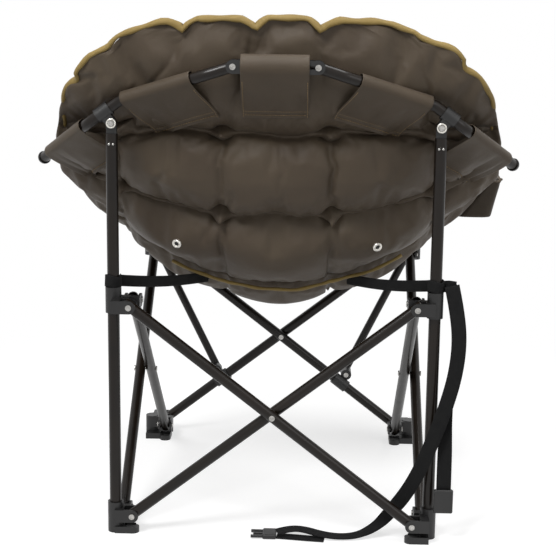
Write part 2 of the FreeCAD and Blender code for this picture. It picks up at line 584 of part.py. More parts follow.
KNUCKLE = size("knuckle_half")
KNUCKLE_Z = size("knuckle_height")
KNUCKLE_Y = size("knuckle_back")
SLOT_CUT = 60
bar_half = KNUCKLE - REACH - size("knuckle_depth")
centre = tube("centre_bar", frame_at(Vector(-bar_half, -KNUCKLE_Y, KNUCKLE_Z), X_AXIS, Y_AXIS),
              "Sizes.bar_od", "Sizes.bar_wall",
              "2 * (Sizes.knuckle_half - Sizes.pivot_reach - Sizes.knuckle_depth)", [])
keep(centre, "centre_bar")
for side, sign in SIDES.items():
    name = f"knuckle_{side}"
    outward = Vector(sign, 0, 0)
    back = Rotation(Z_AXIS, Y_AXIS)
    half = size("bar_od") / 2 + size("cheek_play") + size("cheek")
    pivot = Vector(sign * KNUCKLE, -KNUCKLE_Y, KNUCKLE_Z)
    root = Vector(sign * (bar_half - size("knuckle_grip")), -KNUCKLE_Y, KNUCKLE_Z)
    arm_low = Vector(min(root.x, pivot.x), -KNUCKLE_Y - half, KNUCKLE_Z - size("fork_radius"))
    arm = bound("Part::Box", name + "_arm", Placement(arm_low, Rotation()),
                Length="Sizes.knuckle_grip + Sizes.pivot_reach + Sizes.knuckle_depth", Width=FORK_WIDTH,
                Height="2 * Sizes.fork_radius")
    end = cylinder(name + "_end", Placement(pivot - Y_AXIS * half, back), "Sizes.fork_radius", FORK_WIDTH)
    slot_from = sign * (bar_half + size("knuckle_floor"))
    slot_low = Vector(min(slot_from, slot_from + sign * SLOT_CUT), -KNUCKLE_Y - half + size("cheek"),
                      KNUCKLE_Z - SLOT_CUT / 2)
    slot = bound("Part::Box", name + "_slot", Placement(slot_low, Rotation()),
                 Length=str(SLOT_CUT), Width=FORK_GAP, Height=str(SLOT_CUT))
    bore = cylinder(name + "_bore", frame_at(root - outward * OVER, outward, Y_AXIS),
                    "Sizes.bar_od / 2 + Sizes.seat_play", f"Sizes.knuckle_grip + {OVER}")
    cutters = [slot, bore]
    runs = (0, size("slot_run")) if side == "right" else (0,)
    for run in runs:
        at = pivot - outward * run - Y_AXIS * (half + OVER)
        cutters.append(cylinder(name + "_hole", Placement(at, back), PIN_HOLE, f"{FORK_WIDTH} + {2 * OVER}"))
    if side == "right":
        low = at - Z_AXIS * (PIN + size("pin_play"))
        cutters.append(bound("Part::Box", name + "_run", Placement(low, Rotation()),
                             Length="Sizes.slot_run", Width=f"{FORK_WIDTH} + {2 * OVER}",
                             Height=f"2 * ({PIN_HOLE})"))
    keep(cut(name, fuse(name + "_body", [arm, end]), cutters), name)
fork_corner = math.hypot(size("fork_radius"), size("bar_od") / 2 + size("cheek_play") + size("cheek"))
cloth_half = KNUCKLE - size("fork_radius") - size("cloth_tip")
sleeves["centre_sleeve"] = hoop_cloth("centre_sleeve_cloth", Vector(-cloth_half, -KNUCKLE_Y, KNUCKLE_Z),
                                      Vector(cloth_half, -KNUCKLE_Y, KNUCKLE_Z),
                                      fork_corner + size("cheek_play"), size("centre_lean"))


# Padded bowl: a fan of sections about an X axis inside the bowl. Each station gives
# the fan angle in degrees, then the outer skin's reach from that axis at the middle
# and at the rim, and the half width at the rim.

FAN_Y = 20
FAN_Z = 720
BACK_STATIONS = [
    (153, 368, 346, 190),
    (159, 345, 326, 280),
    (165, 324, 296, 325),
    (175, 298, 244, 362),
    (186, 281, 208, 378),
    (197, 277, 182, 386),
    (209, 284, 162, 391),
    (229, 315, 144, 395),
    (250, 346, 132, 394),
]
SEAT_STATIONS = [
    (250, 346, 132, 394),
    (261, 359, 134, 391),
    (272, 369, 134, 387),
    (284, 379, 152, 379),
    (296, 388, 194, 368),
    (308, 398, 270, 348),
    (321, 404, 396, 318),
]
LOBES = 5
# The rim's rounded edge as shares of the padding's thickness
EDGE_SHARE = 0.45
EDGE_IN = 0.6
EDGE_DOWN = 0.8


def fan_point(angle, x, reach):
    """A point of the bowl: x across, reach away from the fan's axis."""
    turn = math.radians(angle)
    return Vector(x, FAN_Y + reach * math.cos(turn), FAN_Z + reach * math.sin(turn))


def pad_section(angle, middle, rim, half, pinched, thin):
    """A closed section of the bowl: puffed arcs outside and inside, drawn in at the seams."""
    thick = size("pad_thick") * thin
    pinch = size("pad_pinch") * thin
    edge = thick * EDGE_SHARE

    def skin(x, width, top, bottom):
        return top - (top - bottom) * (x / width) ** 2

    def side_of(width, top, bottom, puff):
        edges = []
        for lobe in range(LOBES):
            xs = [width * (2 * (lobe + step / 2) / LOBES - 1) for step in range(3)]
            reach = [skin(x, width, top, bottom) for x in xs]
            reach[1] += puff
            corners = [fan_point(angle, x, r) for x, r in zip(xs, reach)]
            edges.append(Part.Arc(*corners).toShape())
        return edges

    puff = 0 if pinched else pinch
    outer = side_of(half, middle - pinch, rim, puff)
    inner_half = half - edge * EDGE_IN
    inner_rim = rim - edge * EDGE_DOWN
    inner = side_of(inner_half, middle - thick + pinch, inner_rim, -puff)
    left = Part.LineSegment(fan_point(angle, -inner_half, inner_rim), fan_point(angle, -half, rim))
    right = Part.LineSegment(fan_point(angle, half, rim), fan_point(angle, inner_half, inner_rim))
    return Part.Wire(Part.__sortEdges__(outer + [right.toShape()] + inner + [left.toShape()]))


def pad(stations, first_thin, last_thin):
    """A padded half bowl lofted through its stations, every second one a seam."""
    wires = []
    last = len(stations) - 1
    for index, (angle, middle, rim, half) in enumerate(stations):
        thin = first_thin if index == 0 else last_thin if index == last else 1
        wires.append(pad_section(angle, middle, rim, half, index % 2 == 0 or index == last, thin))
    return Part.makeLoft(wires, True, False, False, 3)


# Thickness at the bowl's upper and front edges, as a share
BOWL_EDGE = 0.5
back_shape = pad(BACK_STATIONS, BOWL_EDGE, 1)
seat_shape = pad(SEAT_STATIONS, 1, BOWL_EDGE)
seam_turn = math.radians(SEAT_STATIONS[0][0])
seam_way = Vector(0, -math.sin(seam_turn), math.cos(seam_turn))
seat_shape.translate(seam_way * size("cloth_gap"))
keep(solid("back_pad", back_shape), "back_pad")
keep(solid("seat_pad", seat_shape), "seat_pad")


def clear_of_bowl(shape, ways):
    """Trim a soft piece back from the bowl, short of it by the cloth gap along each way."""
    for bowl in (back_shape, seat_shape):
        for way in ways:
            nearer = bowl.copy()
            nearer.translate(way * size("cloth_gap"))
            shape = shape.cut(nearer)
    return max(shape.Solids, key=lambda piece: piece.Volume)


for label, cloth in sleeves.items():
    cloth.Shape = clear_of_bowl(cloth.Shape, [Vector(0, -1, 0), Vector(0, -0.7, -0.7)])
    keep(cloth, label)


# Webbing: seat ties from the collars, and the closure strap with its buckle

def band(points, faces, width, thick):
    """A flat band through points; faces gives the direction that its flat side looks at."""
    wires = []
    for index, (point, face) in enumerate(zip(points, faces)):
        before = points[max(index - 1, 0)]
        after = points[min(index + 1, len(points) - 1)]
        along = (after - before).normalize()
        across = along.cross(face).normalize() * (width / 2)
        normal = across.cross(along).normalize() * (thick / 2)
        corners = [point - across - normal, point + across - normal, point + across + normal,
                   point - across + normal, point - across - normal]
        wires.append(Part.makePolygon(corners))
    return Part.makeLoft(wires, True, False)


STRAP_LOOP = (33, -6)
TIE_END = (130, -30)
TIE_RISE = 4
TIE_SAG = 2
RING_LOW = COLLAR_TOP + size("cloth_gap")
RING_BORE = size("post_od") / 2 + 2 * size("slide_play")
RING_OUT = RING_BORE + size("web_thick")
for side, sign in SIDES.items():
    ring_at = Vector(sign * HUB, -HUB, RING_LOW)
    ring = Part.makeCylinder(RING_OUT, size("tie_width"), ring_at)
    middle = ring_at + Z_AXIS * (size("tie_width") / 2)
    far_end = Vector(sign * TIE_END[0], TIE_END[1], middle.z + TIE_RISE)
    way = (far_end - middle).normalize()
    near_end = middle + way * (RING_BORE + size("web_thick") / 2)
    tie = band([near_end, (near_end + far_end) / 2 - Z_AXIS * TIE_SAG, far_end], [Y_AXIS] * 3,
               size("tie_width"), size("web_thick"))
    tie = ring.cut(Part.makeCylinder(RING_BORE, size("tie_width"), ring_at)).fuse(tie)
    if side == "right":
        loop_end = middle + Vector(*STRAP_LOOP, 0)
        loop_start = middle + (loop_end - middle).normalize() * (RING_BORE + size("web_thick") / 2)
        tie = tie.fuse(band([loop_start, loop_end], [Y_AXIS] * 2, size("tie_width"), size("web_thick")))
    trims = [way.negative(), Vector(0, 0, -1), Vector(sign, 0, 0)]
    keep(solid(f"seat_tie_{side}", clear_of_bowl(tie, trims)), f"seat_tie_{side}")

STRAP_ROUTE = [
    (296, -278.6, 446), (304, -284, 412), (311, -294, 358), (306, -298, 300), (291, -301, 242),
    (272, -301, 186), (252, -299, 132), (231, -286, 85), (208, -265, 45), (182, -270, 17),
    (150, -282, 4.4), (116, -289, 4), (84, -284, 6.6), (56, -276, 11.5), (32, -278, 13), (10, -284, 8.4),
]
TAIL_ROUTE = [(10, -285, 1.7), (36, -288, 1.6), (64, -293, 1.6), (92, -296, 1.6)]
SHORT_ROUTE = [(304.4, -264, 446), (308, -264, 396), (305, -267, 330), (299, -274, 266),
               (294, -285, 196), (293, -292, 140), (293, -295, 96)]


def facing(route, level):
    """The band faces backwards while it hangs and upwards once it is below the level."""
    ways = []
    for point in route:
        share = min(max((level - point[2]) / level, 0), 1)
        ways.append(Vector(0, -(1 - share) - 0.02, share))
    return ways


WEB = (size("web_width"), size("web_thick"))
LYING_LEVEL = 70
BUCKLE_PLAY = 0.4
# A box where the buckle lies: the webbing ends at its face
CLEAR_BOX = Vector(60, 80, 40)
strap_end = Vector(*STRAP_ROUTE[-1])
clear_low = Vector(strap_end.x + BUCKLE_PLAY - CLEAR_BOX.x, strap_end.y - CLEAR_BOX.y / 2, 0)
buckle_side = Part.makeBox(CLEAR_BOX.x, CLEAR_BOX.y, CLEAR_BOX.z, clear_low)
strap = band([Vector(*point) for point in STRAP_ROUTE], facing(STRAP_ROUTE, LYING_LEVEL), *WEB)
strap = strap.cut(buckle_side)
tail = band([Vector(*point) for point in TAIL_ROUTE], [Z_AXIS] * len(TAIL_ROUTE), *WEB)
tail = tail.cut(buckle_side)
keep(solid("closure_strap", strap), "closure_strap")
keep(solid("strap_tail", tail), "strap_tail")
short_faces = [Vector(-1, 0, 0), Vector(-1, -0.1, 0), Vector(-0.97, -0.25, 0), Vector(-0.9, -0.45, 0),
               Vector(-0.7, -0.7, 0), Vector(-0.3, -0.95, 0), Vector(0, -1, 0)]
short = band([Vector(*point) for point in SHORT_ROUTE], short_faces, *WEB)
keep(solid("short_strap", short), "short_strap")


def rounded_block(name, low, lengths, fillet):
    """A box with all its edges rounded."""
    block = doc.addObject("Part::Box", name + "_block")
    for prop, length in zip(("Length", "Width", "Height"), lengths):
        setattr(block, prop, length)
    block.Placement = Placement(low, Rotation())
    doc.recompute()
    soft = doc.addObject("Part::Fillet", name + "_soft")
    soft.Base = block
    soft.Edges = [(index + 1, fillet, fillet) for index in range(len(block.Shape.Edges))]
    return soft


BUCKLE_WALL = 4
BUCKLE_WIDE = size("web_width") + 2 * BUCKLE_WALL
BUCKLE_LONG = 42
BUCKLE_THICK = 9
BUCKLE_ROUND = 3
MOUTH_DEEP = 27
MOUTH_HIGH = 4
TONGUE_LONG = 24
PRONG_WIDE = 5
PRONG_ROOT = 2
PRONG_EDGE = 2
SIDE_PRONG = 22
MIDDLE_PRONG = 18
short_end = Vector(*SHORT_ROUTE[-1])
socket_low = Vector(short_end.x - BUCKLE_WIDE / 2, short_end.y - BUCKLE_THICK / 2,
                    short_end.z - BUCKLE_LONG - BUCKLE_PLAY / 2)
socket_body = rounded_block("buckle_socket", socket_low, (BUCKLE_WIDE, BUCKLE_THICK, BUCKLE_LONG),
                            BUCKLE_ROUND)
mouth_side = (BUCKLE_WIDE - size("web_width") + PRONG_EDGE) / 2
mouth_low = socket_low + Vector(mouth_side, (BUCKLE_THICK - MOUTH_HIGH) / 2, -OVER)
mouth = bound("Part::Box", "buckle_socket_mouth", Placement(mouth_low, Rotation()),
              Length=f"Sizes.web_width - {PRONG_EDGE}", Width=str(MOUTH_HIGH),
              Height=str(MOUTH_DEEP + OVER))
keep(cut("buckle_socket", socket_body, [mouth]), "buckle_socket")
tongue_low = Vector(strap_end.x - BUCKLE_PLAY - TONGUE_LONG, strap_end.y - BUCKLE_WIDE / 2, BUCKLE_PLAY)
tongue_body = rounded_block("buckle_tongue", tongue_low, (TONGUE_LONG, BUCKLE_WIDE, BUCKLE_THICK),
                            BUCKLE_ROUND)
prongs = [tongue_body]
for reach, offset in ((SIDE_PRONG, PRONG_EDGE), (MIDDLE_PRONG, (BUCKLE_WIDE - PRONG_WIDE) / 2),
                      (SIDE_PRONG, BUCKLE_WIDE - PRONG_EDGE - PRONG_WIDE)):
    prong_low = tongue_low + Vector(PRONG_ROOT - reach, offset, (BUCKLE_THICK - MOUTH_HIGH) / 2)
    prongs.append(bound("Part::Box", "buckle_prong", Placement(prong_low, Rotation()),
                        Length=str(reach), Width=str(PRONG_WIDE), Height=str(MOUTH_HIGH)))
keep(fuse("buckle_tongue", prongs), "buckle_tongue")


# Cup pouch on the right arm: a cloth box that opens upwards, sewn to the bowl's side

POUCH_LOW = (346, 10, 514)
POUCH_HIGH = (412, 104, 584)
POUCH_WALL = 3
POUCH_TAPER = 16


def pouch_shell(inset, floor):
    """A tapered box: narrower at its bottom by the taper, on the outer side."""
    low_x, low_y, low_z = POUCH_LOW
    high_x, high_y, high_z = POUCH_HIGH
    wires = []
    for z, taper in ((low_z + floor, POUCH_TAPER), (high_z + (OVER if inset else 0), 0)):
        left = low_x + inset
        right = high_x - taper - inset
        near = low_y + taper / 3 + inset
        far = high_y - taper / 3 - inset
        corners = ((left, near), (right, near), (right, far), (left, far), (left, near))
        wires.append(Part.makePolygon([Vector(x, y, z) for x, y in corners]))
    return Part.makeLoft(wires, True, True)


pouch = pouch_shell(0, 0).cut(pouch_shell(POUCH_WALL, POUCH_WALL))
pouch_trims = [Vector(1, 0, 0), Vector(0.7, 0, -0.7), Vector(0, 0, -1), Vector(0, 0, 1)]
keep(solid("cup_pouch", clear_of_bowl(pouch, pouch_trims)), "cup_pouch")

doc.recompute()

# Nothing is written unless every object is sound

for obj in doc.Objects:
    if "Invalid" in obj.State or "Error" in obj.State:
        raise RuntimeError(f"{obj.Label} failed: {obj.State}")
for node in nodes:
    if node.Shape.isNull() or not node.Shape.isValid():
        raise RuntimeError(f"{node.Label} has no valid shape")
os.makedirs("parts", exist_ok=True)
for node in nodes:
    node.Shape.exportStep(f"parts/{node.Label}.step")
    print(f"{node.Label}: {len(node.Shape.Solids)} solid(s), {node.Shape.Volume:.0f} mm3")
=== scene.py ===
import json
import math

import bmesh
import bpy
import numpy as np
from mathutils import Matrix, Vector
from mathutils.bvhtree import BVHTree


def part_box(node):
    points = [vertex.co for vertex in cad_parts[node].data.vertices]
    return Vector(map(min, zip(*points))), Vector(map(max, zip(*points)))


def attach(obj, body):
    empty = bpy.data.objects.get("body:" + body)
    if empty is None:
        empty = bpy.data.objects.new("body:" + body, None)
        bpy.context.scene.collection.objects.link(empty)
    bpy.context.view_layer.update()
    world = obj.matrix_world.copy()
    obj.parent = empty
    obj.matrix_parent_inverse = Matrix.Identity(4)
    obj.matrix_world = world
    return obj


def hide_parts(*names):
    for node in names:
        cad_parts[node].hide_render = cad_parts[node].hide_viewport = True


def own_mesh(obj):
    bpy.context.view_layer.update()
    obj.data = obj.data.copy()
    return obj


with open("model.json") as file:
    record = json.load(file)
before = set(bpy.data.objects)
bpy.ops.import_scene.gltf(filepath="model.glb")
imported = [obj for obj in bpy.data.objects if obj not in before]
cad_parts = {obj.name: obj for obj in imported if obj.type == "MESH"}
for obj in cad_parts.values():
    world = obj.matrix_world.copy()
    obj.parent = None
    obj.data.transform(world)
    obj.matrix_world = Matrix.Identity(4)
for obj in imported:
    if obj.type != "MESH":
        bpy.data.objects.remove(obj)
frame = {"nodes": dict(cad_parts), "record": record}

bl_info = {
    "name": "Padded folding camping chair",
    "version": (1, 0, 0),
    "blender": (4, 5, 0),
    "location": "View3D > Sidebar > Chair",
    "description": "Dresses the packed frame of a folding camping chair",
    "category": "Object",
}

SIDES = (("left", -1), ("right", 1))

# The bowl's sections, in millimetres, as in the part's source: fan angle in degrees,
# reach of the outer skin at the middle and at the rim, half width at the rim
FAN_Y = 20
FAN_Z = 720
STATIONS = np.array([
    (153, 368, 346, 190), (159, 345, 326, 280), (165, 324, 296, 325), (175, 298, 244, 362),
    (186, 281, 208, 378), (197, 277, 182, 386), (209, 284, 162, 391), (229, 315, 144, 395),
    (250, 346, 132, 394), (261, 359, 134, 391), (272, 369, 134, 387), (284, 379, 152, 379),
    (296, 388, 194, 368), (308, 398, 270, 348), (321, 404, 396, 318),
], float)
ANGLE, MIDDLE, RIM, HALF = range(4)

# Fan angles of the bowl's upper edge, its seam and its front edge
TOP = 153
SEAM = 250
FRONT = 321

# Quilting: fan angles of the stitch rows, and the upright seams as shares of the half width
BACK_ROWS = (153, 187, 221, 250)
SEAT_ROWS = (249.3, 272, 296, 321)
COLUMNS = (-1.0, -0.7, -0.24, 0.24, 0.7, 1.0)
# x of the upright seams and of the gathers at the upper edge, in millimetres
TOP_COLUMNS = (-150, -32, 70, 240)
NOTCHES = (-400, -270, -150, -32, 70, 240, 308, 400)
# Gathers of the side edges: side and fan angle, then depth in millimetres and width in degrees
SIDE_NOTCHES = ((-1, 159.5), (-1, 168), (1, 156.6), (1, 163.5))
NOTCH_DEEP = 13
NOTCH_WIDE = 1.3
# In fan degrees: gather of the upper edge and how far it fades downwards, overlap of the
# halves at the seam, run of the thinner lip, and rows without tufts along the edges
SCALLOP = 3.2
SCALLOP_FADE = 14
SEAM_LAP = 0.7
LIP_RUN = 7
TUFT_CLEAR = 4
# In millimetres: padding at the middle, how much less it is at the rim, tuft, inner skin's inset
PAD_THICK = 54
PAD_LESS = 33
TUFT_POINT = 10
INNER_INSET = 14
# Mesh points of a padded half across and along
PAD_ACROSS = 121
PAD_ALONG = 81

# Swell of the padding by Blender's Cloth; the cap is in metres
CLOTH = {
    "quality": 5, "mass": 0.2, "tension_stiffness": 15, "compression_stiffness": 12, "shear_stiffness": 6,
    "bending_stiffness": 0.08, "shrink_min": -0.07, "use_pressure": True, "uniform_pressure_force": 3.0,
    "vertex_group_mass": "seams", "pin_stiffness": 2.0,
}
FRAMES = 20
SWELL_CAP = 0.012

# Grooves sewn into the swollen pads, in millimetres: depth and width
ROW_STITCH = (10, 6.5)
ROW_VALLEY = (7, 20)
COLUMN_STITCH = (5, 5.5)
COLUMN_VALLEY = (4, 18)
TUFT_DIMPLE = (9, 15)
# Creases that run out from each tuft: number, ranges in millimetres, bend per millimetre
CREASES = 7
CREASE_LONG = (35, 85)
CREASE_WIDE = (4.5, 7)
CREASE_DEEP = (3.2, 6.0)
CREASE_BEND = 0.0022

# Binding: place from inner to outer skin, inset from the edge in fan degrees, then the step
# along it and the tapes' radii in metres, and the seam's tape: lift in millimetres, run of 240 points
TAPE_SIDE = 0.62
TAPE_INSET = 0.55
TAPE_STEP = 0.006
SEAM_TAPE = 0.0052
MOUTH_TAPE = 0.0034
SEAM_LIFT = 4.0
SEAM_RUN = slice(62, -52)

# Routes of the webbing, in millimetres, as in the part's source
STRAP_ROUTE = [
    (296, -278.6, 446), (304, -284, 412), (311, -294, 358), (306, -298, 300), (291, -301, 242),
    (272, -301, 186), (252, -299, 132), (231, -286, 85), (208, -265, 45), (182, -270, 17),
    (150, -282, 4.4), (116, -289, 4), (84, -284, 6.6), (56, -276, 11.5), (32, -278, 13), (10, -284, 8.4),
]
TAIL_ROUTE = [(10, -285, 1.7), (36, -288, 1.6), (64, -293, 1.6), (92, -296, 1.6)]
SHORT_ROUTE = [(304.4, -264, 446), (308, -264, 396), (305, -267, 330), (299, -274, 266),
               (294, -285, 196), (293, -292, 140), (293, -295, 96)]

# From here on metres. Corner axes of the frame, and the posts' tops
CORNER = 0.270
POST_RADIUS = 0.010
POST_PIVOT = 0.707
RIVETS_Z = 0.673
RIVET_OFFSETS = (-0.0034, 0.0034)
RIVET_LIFTS = (-0.001, 0.0008, 0.0016)
RIVET_RADII = (0.0022, 0.0022, 0.0011)
WASHER_RADIUS = 0.0068
WASHER_WIRE = 0.0016
WASHER_Y = -0.2784

# Eyelets in the backrest: (x, z), then their section as (radius, lift)
EYELETS = {"eyelet_left": (-0.173, 0.490), "eyelet_right": (0.175, 0.490)}
EYELET_RINGS = [(0.0036, -0.001), (0.0040, 0.0020), (0.0055, 0.0032), (0.0078, 0.0026), (0.0086, 0.0006),
                (0.0080, -0.004)]
EYELET_LIFT = 0.0015
# A black disc of painted shade in each eyelet's hole, standing in for its shaded depth: radius and lift
EYELET_SHADE_DISC = (0.0038, 0.0012)

# Hoop sleeves: runs of hoop tube on the right side, and the shares of them that cloth covers
CENTRE_RUN = ((-0.056, -0.320, 0.804), (0.054, -0.320, 0.804))
INNER_RUN = ((0.1098, -0.320, 0.7907), (0.2580, -0.270, 0.7437))
INNER_SHARE = (0.16, 0.95)
OUTER_RUN = ((0.3056, -0.270, 0.7080), (0.405, -0.150, 0.635))
OUTER_SHARE = (0.1, 0.85)
TUBE_SLEEVE = 0.0125
KNUCKLE_SLEEVE = 0.0195
SLEEVE_COLUMNS = 40
LOOP_POINTS = 15
FLAP_POINTS = 12
FLAP_BELLY = 0.004
FLAP_GAP = 0.0025
HEM = 0.012
RIPPLES = 5
RIPPLE_HIGH = 0.0011
STITCH_LIFT = 0.0013

# Seat ties: wraps round the post, then the run to the bowl
TIE_WRAPS = (0.0116, 0.0134)
TIE_WRAP_THICK = 0.0014
TIE_AIM = (0.112, -0.050, -0.034)
TIE_SAG = 0.005
TIE_SUNK = 0.004
TIE_START = 0.0125

# Cup pouch
POUCH_TAPER = 0.016
POUCH_SIDE_TAPER = 0.005
POUCH_WALL = 0.002
POUCH_ROWS = 16
POUCH_COLUMNS = 48
POUCH_LIP = 0.004

# The photograph's camera: place; yaw, pitch and roll in degrees; focal length and width in pixels
CAMERA_AT = (0.068, -2.545, 0.913)
CAMERA_TURNS = (1.55, 11.44, -0.72)
FOCAL_PIXELS = 1389
PHOTO_PIXELS = 556
SENSOR = 36
# Lights: place, target, power and width
LIGHTS = {
    "key": ((-1.3, -2.2, 3.3), (0, -0.2, 0.55), 92, 1.1),
    "fill": ((2.6, -2.2, 1.9), (0, -0.1, 0.5), 16, 1.6),
    "top": ((0.5, -0.2, 3.4), (0, -0.1, 0.5), 52, 1.5),
}
FLOOR_HALF = 9.0
WHITE = (1, 1, 1, 1)


def linear(code):
    """A hex colour as linear RGBA."""
    parts = [int(code[i:i + 2], 16) / 255 for i in (1, 3, 5)]
    return [c / 12.92 if c <= 0.04045 else ((c + 0.055) / 1.055) ** 2.4 for c in parts] + [1.0]


def measure(name):
    """A size from the settings, in metres."""
    return round(getattr(bpy.context.scene.chair, name), 6)


def tint(name):
    """A colour from the settings, as linear RGBA."""
    return [*getattr(bpy.context.scene.chair, name), 1.0]


# Materials

def set_inputs(tree, node, inputs):
    for name, value in inputs.items():
        socket = node.inputs[name]
        if isinstance(value, bpy.types.NodeSocket):
            tree.links.new(value, socket)
        else:
            socket.default_value = value


def add_node(tree, kind, inputs=None, **settings):
    """Add a shader node, set its properties and set or link its inputs."""
    node = tree.nodes.new("ShaderNode" + kind)
    for name, value in settings.items():
        setattr(node, name, value)
    set_inputs(tree, node, inputs or {})
    return node


def new_material(name):
    """A material with a Principled shader, and Object coordinates to place its patterns."""
    material = bpy.data.materials.new(name)
    material.use_nodes = True
    tree = material.node_tree
    tree.nodes.clear()
    shader = add_node(tree, "BsdfPrincipled")
    out = add_node(tree, "OutputMaterial")
    tree.links.new(shader.outputs[0], out.inputs[0])
    place = add_node(tree, "TexCoord").outputs["Object"]
    return material, tree, shader, place


def ramp(tree, factor, low, high, start=0.3, end=0.7):
    node = add_node(tree, "ValToRGB", {"Fac": factor})
    node.color_ramp.elements[0].position = start
    node.color_ramp.elements[0].color = low
    node.color_ramp.elements[1].position = end
    node.color_ramp.elements[1].color = high
    return node.outputs["Color"]


def span(tree, factor, low, high):
    return add_node(tree, "MapRange", {"Value": factor, "To Min": low, "To Max": high}).outputs[0]


def noise(tree, place, scale, detail=4.0, roughness=0.55):
    return add_node(tree, "TexNoise", {"Vector": place, "Scale": scale, "Detail": detail,
                                                 "Roughness": roughness}).outputs["Fac"]


def bump(tree, height, distance, strength, below=None):
    inputs = {"Height": height, "Distance": distance, "Strength": strength}
    if below is not None:
        inputs["Normal"] = below
    return add_node(tree, "Bump", inputs).outputs["Normal"]


def weave(tree, place, scale):
    """Crossed threads: two sine waves multiplied."""
    bands = []
    for axis in ("X", "Z"):
        wave = add_node(tree, "TexWave", {"Vector": place, "Scale": scale, "Distortion": 0.4,
                                                    "Detail": 1.0}, bands_direction=axis)
        bands.append(wave.outputs["Fac"])
    return add_node(tree, "Math", {0: bands[0], 1: bands[1]}, operation="MULTIPLY").outputs[0]


def cloth_material(name, dark, light, crease, rough):
    """Coated polyester: fine weave, soft creases, slight colour drift and a satin sheen."""
    material, tree, shader, place = new_material(name)
    folds = bump(tree, noise(tree, place, 26.0, 6.0, 0.6), 0.004, crease)
    set_inputs(tree, shader, {
        "Base Color": ramp(tree, noise(tree, place, 9.0, 5.0), dark, light),
        "Roughness": span(tree, noise(tree, place, 40.0), rough - 0.06, rough + 0.08),
        "Sheen Weight": 0.05,
        "Sheen Roughness": 0.5,
        "Specular IOR Level": 0.28,
        "Normal": bump(tree, weave(tree, place, 420.0), 0.0003, 0.35, folds),
    })
    return material


def webbing_material():
    """Black woven webbing with tight ribs."""
    material, tree, shader, place = new_material("webbing")
    set_inputs(tree, shader, {
        "Base Color": ramp(tree, noise(tree, place, 60.0), linear("#060607"), linear("#101010")),
        "Roughness": 0.85,
        "Specular IOR Level": 0.25,
        "Normal": bump(tree, weave(tree, place, 260.0), 0.0006, 0.6),
    })
    return material


def tube_material():
    """Dark bronze powder coat with a fine orange-peel skin and rubbed patches."""
    material, tree, shader, place = new_material("powder_coat")
    set_inputs(tree, shader, {
        "Base Color": ramp(tree, noise(tree, place, 14.0), tint("tube_dark"), tint("tube_light")),
        "Roughness": span(tree, noise(tree, place, 55.0), 0.24, 0.4),
        "Specular IOR Level": 0.22,
        "Coat Weight": 0.12,
        "Coat Roughness": 0.18,
        "Normal": bump(tree, noise(tree, place, 900.0, 2.0), 0.0002, 0.25),
    })
    return material


def plastic_material():
    """Moulded black plastic with a fine grain."""
    material, tree, shader, place = new_material("moulding")
    set_inputs(tree, shader, {
        "Base Color": ramp(tree, noise(tree, place, 30.0), linear("#0e0e0e"), linear("#191818")),
        "Roughness": span(tree, noise(tree, place, 120.0), 0.34, 0.5),
        "Normal": bump(tree, noise(tree, place, 1500.0, 2.0), 0.0002, 0.3),
    })
    return material


def metal_material(name, low, high, rough):
    """Bright plated metal, unevenly worn."""
    material, tree, shader, place = new_material(name)
    set_inputs(tree, shader, {
        "Base Color": ramp(tree, noise(tree, place, 220.0), low, high),
        "Roughness": span(tree, noise(tree, place, 500.0), rough - 0.06, rough + 0.1),
        "Metallic": 1.0,
    })
    return material


def make_materials():
    """All finishes by the name of their record slot, and those of trim that has none."""
    return {
        "padded_cloth": cloth_material("padded_cloth", tint("cloth_dark"), tint("cloth_light"), 0.30, 0.50),
        "cloth": cloth_material("sleeve_cloth", linear("#453b2f"), linear("#4f4437"), 0.22, 0.55),
        "lining": cloth_material("pouch_cloth", linear("#3a3228"), linear("#443b30"), 0.25, 0.58),
        "binding": cloth_material("binding", tint("binding_dark"), tint("binding_light"), 0.20, 0.62),
        "stitch": cloth_material("stitch_thread", linear("#8d7550"), linear("#a58a61"), 0.10, 0.6),
        "webbing": webbing_material(),
        "tube": tube_material(),
        "moulding": plastic_material(),
        "rivet": metal_material("rivet", linear("#8f8d8a"), linear("#bdbbb7"), 0.24),
        "nickel": metal_material("eyelet", linear("#c9c6be"), linear("#ece9e2"), 0.25),
    }


# Mesh helpers

def new_object(name, data):
    obj = bpy.data.objects.new(name, data)
    bpy.context.scene.collection.objects.link(obj)
    return obj


def mesh_object(name, verts, faces, material, smooth=True):
    mesh = bpy.data.meshes.new(name)
    mesh.from_pydata([tuple(v) for v in verts], [], [tuple(int(i) for i in f) for f in faces])
    mesh.validate()
    mesh.materials.append(material)
    mesh.polygons.foreach_set("use_smooth", [smooth] * len(mesh.polygons))
    mesh.update()
    return new_object(name, mesh)


def grid_faces(rows, columns, wrap=False, start=0):
    """Quads of a rows by columns grid of vertices; wrap closes it across the columns."""
    faces = []
    last = columns if wrap else columns - 1
    for i in range(rows - 1):
        for j in range(last):
            k = (j + 1) % columns
            faces.append((start + i * columns + j, start + i * columns + k,
                          start + (i + 1) * columns + k, start + (i + 1) * columns + j))
    return faces


def end_faces(rows, columns):
    """The two faces that close a wrapped grid at its ends."""
    return [tuple(range(columns))[::-1], tuple(range((rows - 1) * columns, rows * columns))]


def apply_modifier(obj, kind, **settings):
    """Add a modifier, set it up and bake it into the mesh, shaded smooth."""
    modifier = obj.modifiers.new(kind.title(), kind)
    for name, value in settings.items():
        setattr(modifier, name, value)
    depsgraph = bpy.context.evaluated_depsgraph_get()
    baked = bpy.data.meshes.new_from_object(obj.evaluated_get(depsgraph))
    obj.modifiers.remove(modifier)
    baked.polygons.foreach_set("use_smooth", [True] * len(baked.polygons))
    old = obj.data
    obj.data = baked
    bpy.data.meshes.remove(old)


def outward(obj):
    """Turn all faces outwards."""
    work = bmesh.new()
    work.from_mesh(obj.data)
    bmesh.ops.recalc_face_normals(work, faces=work.faces[:])
    work.to_mesh(obj.data)
    work.free()


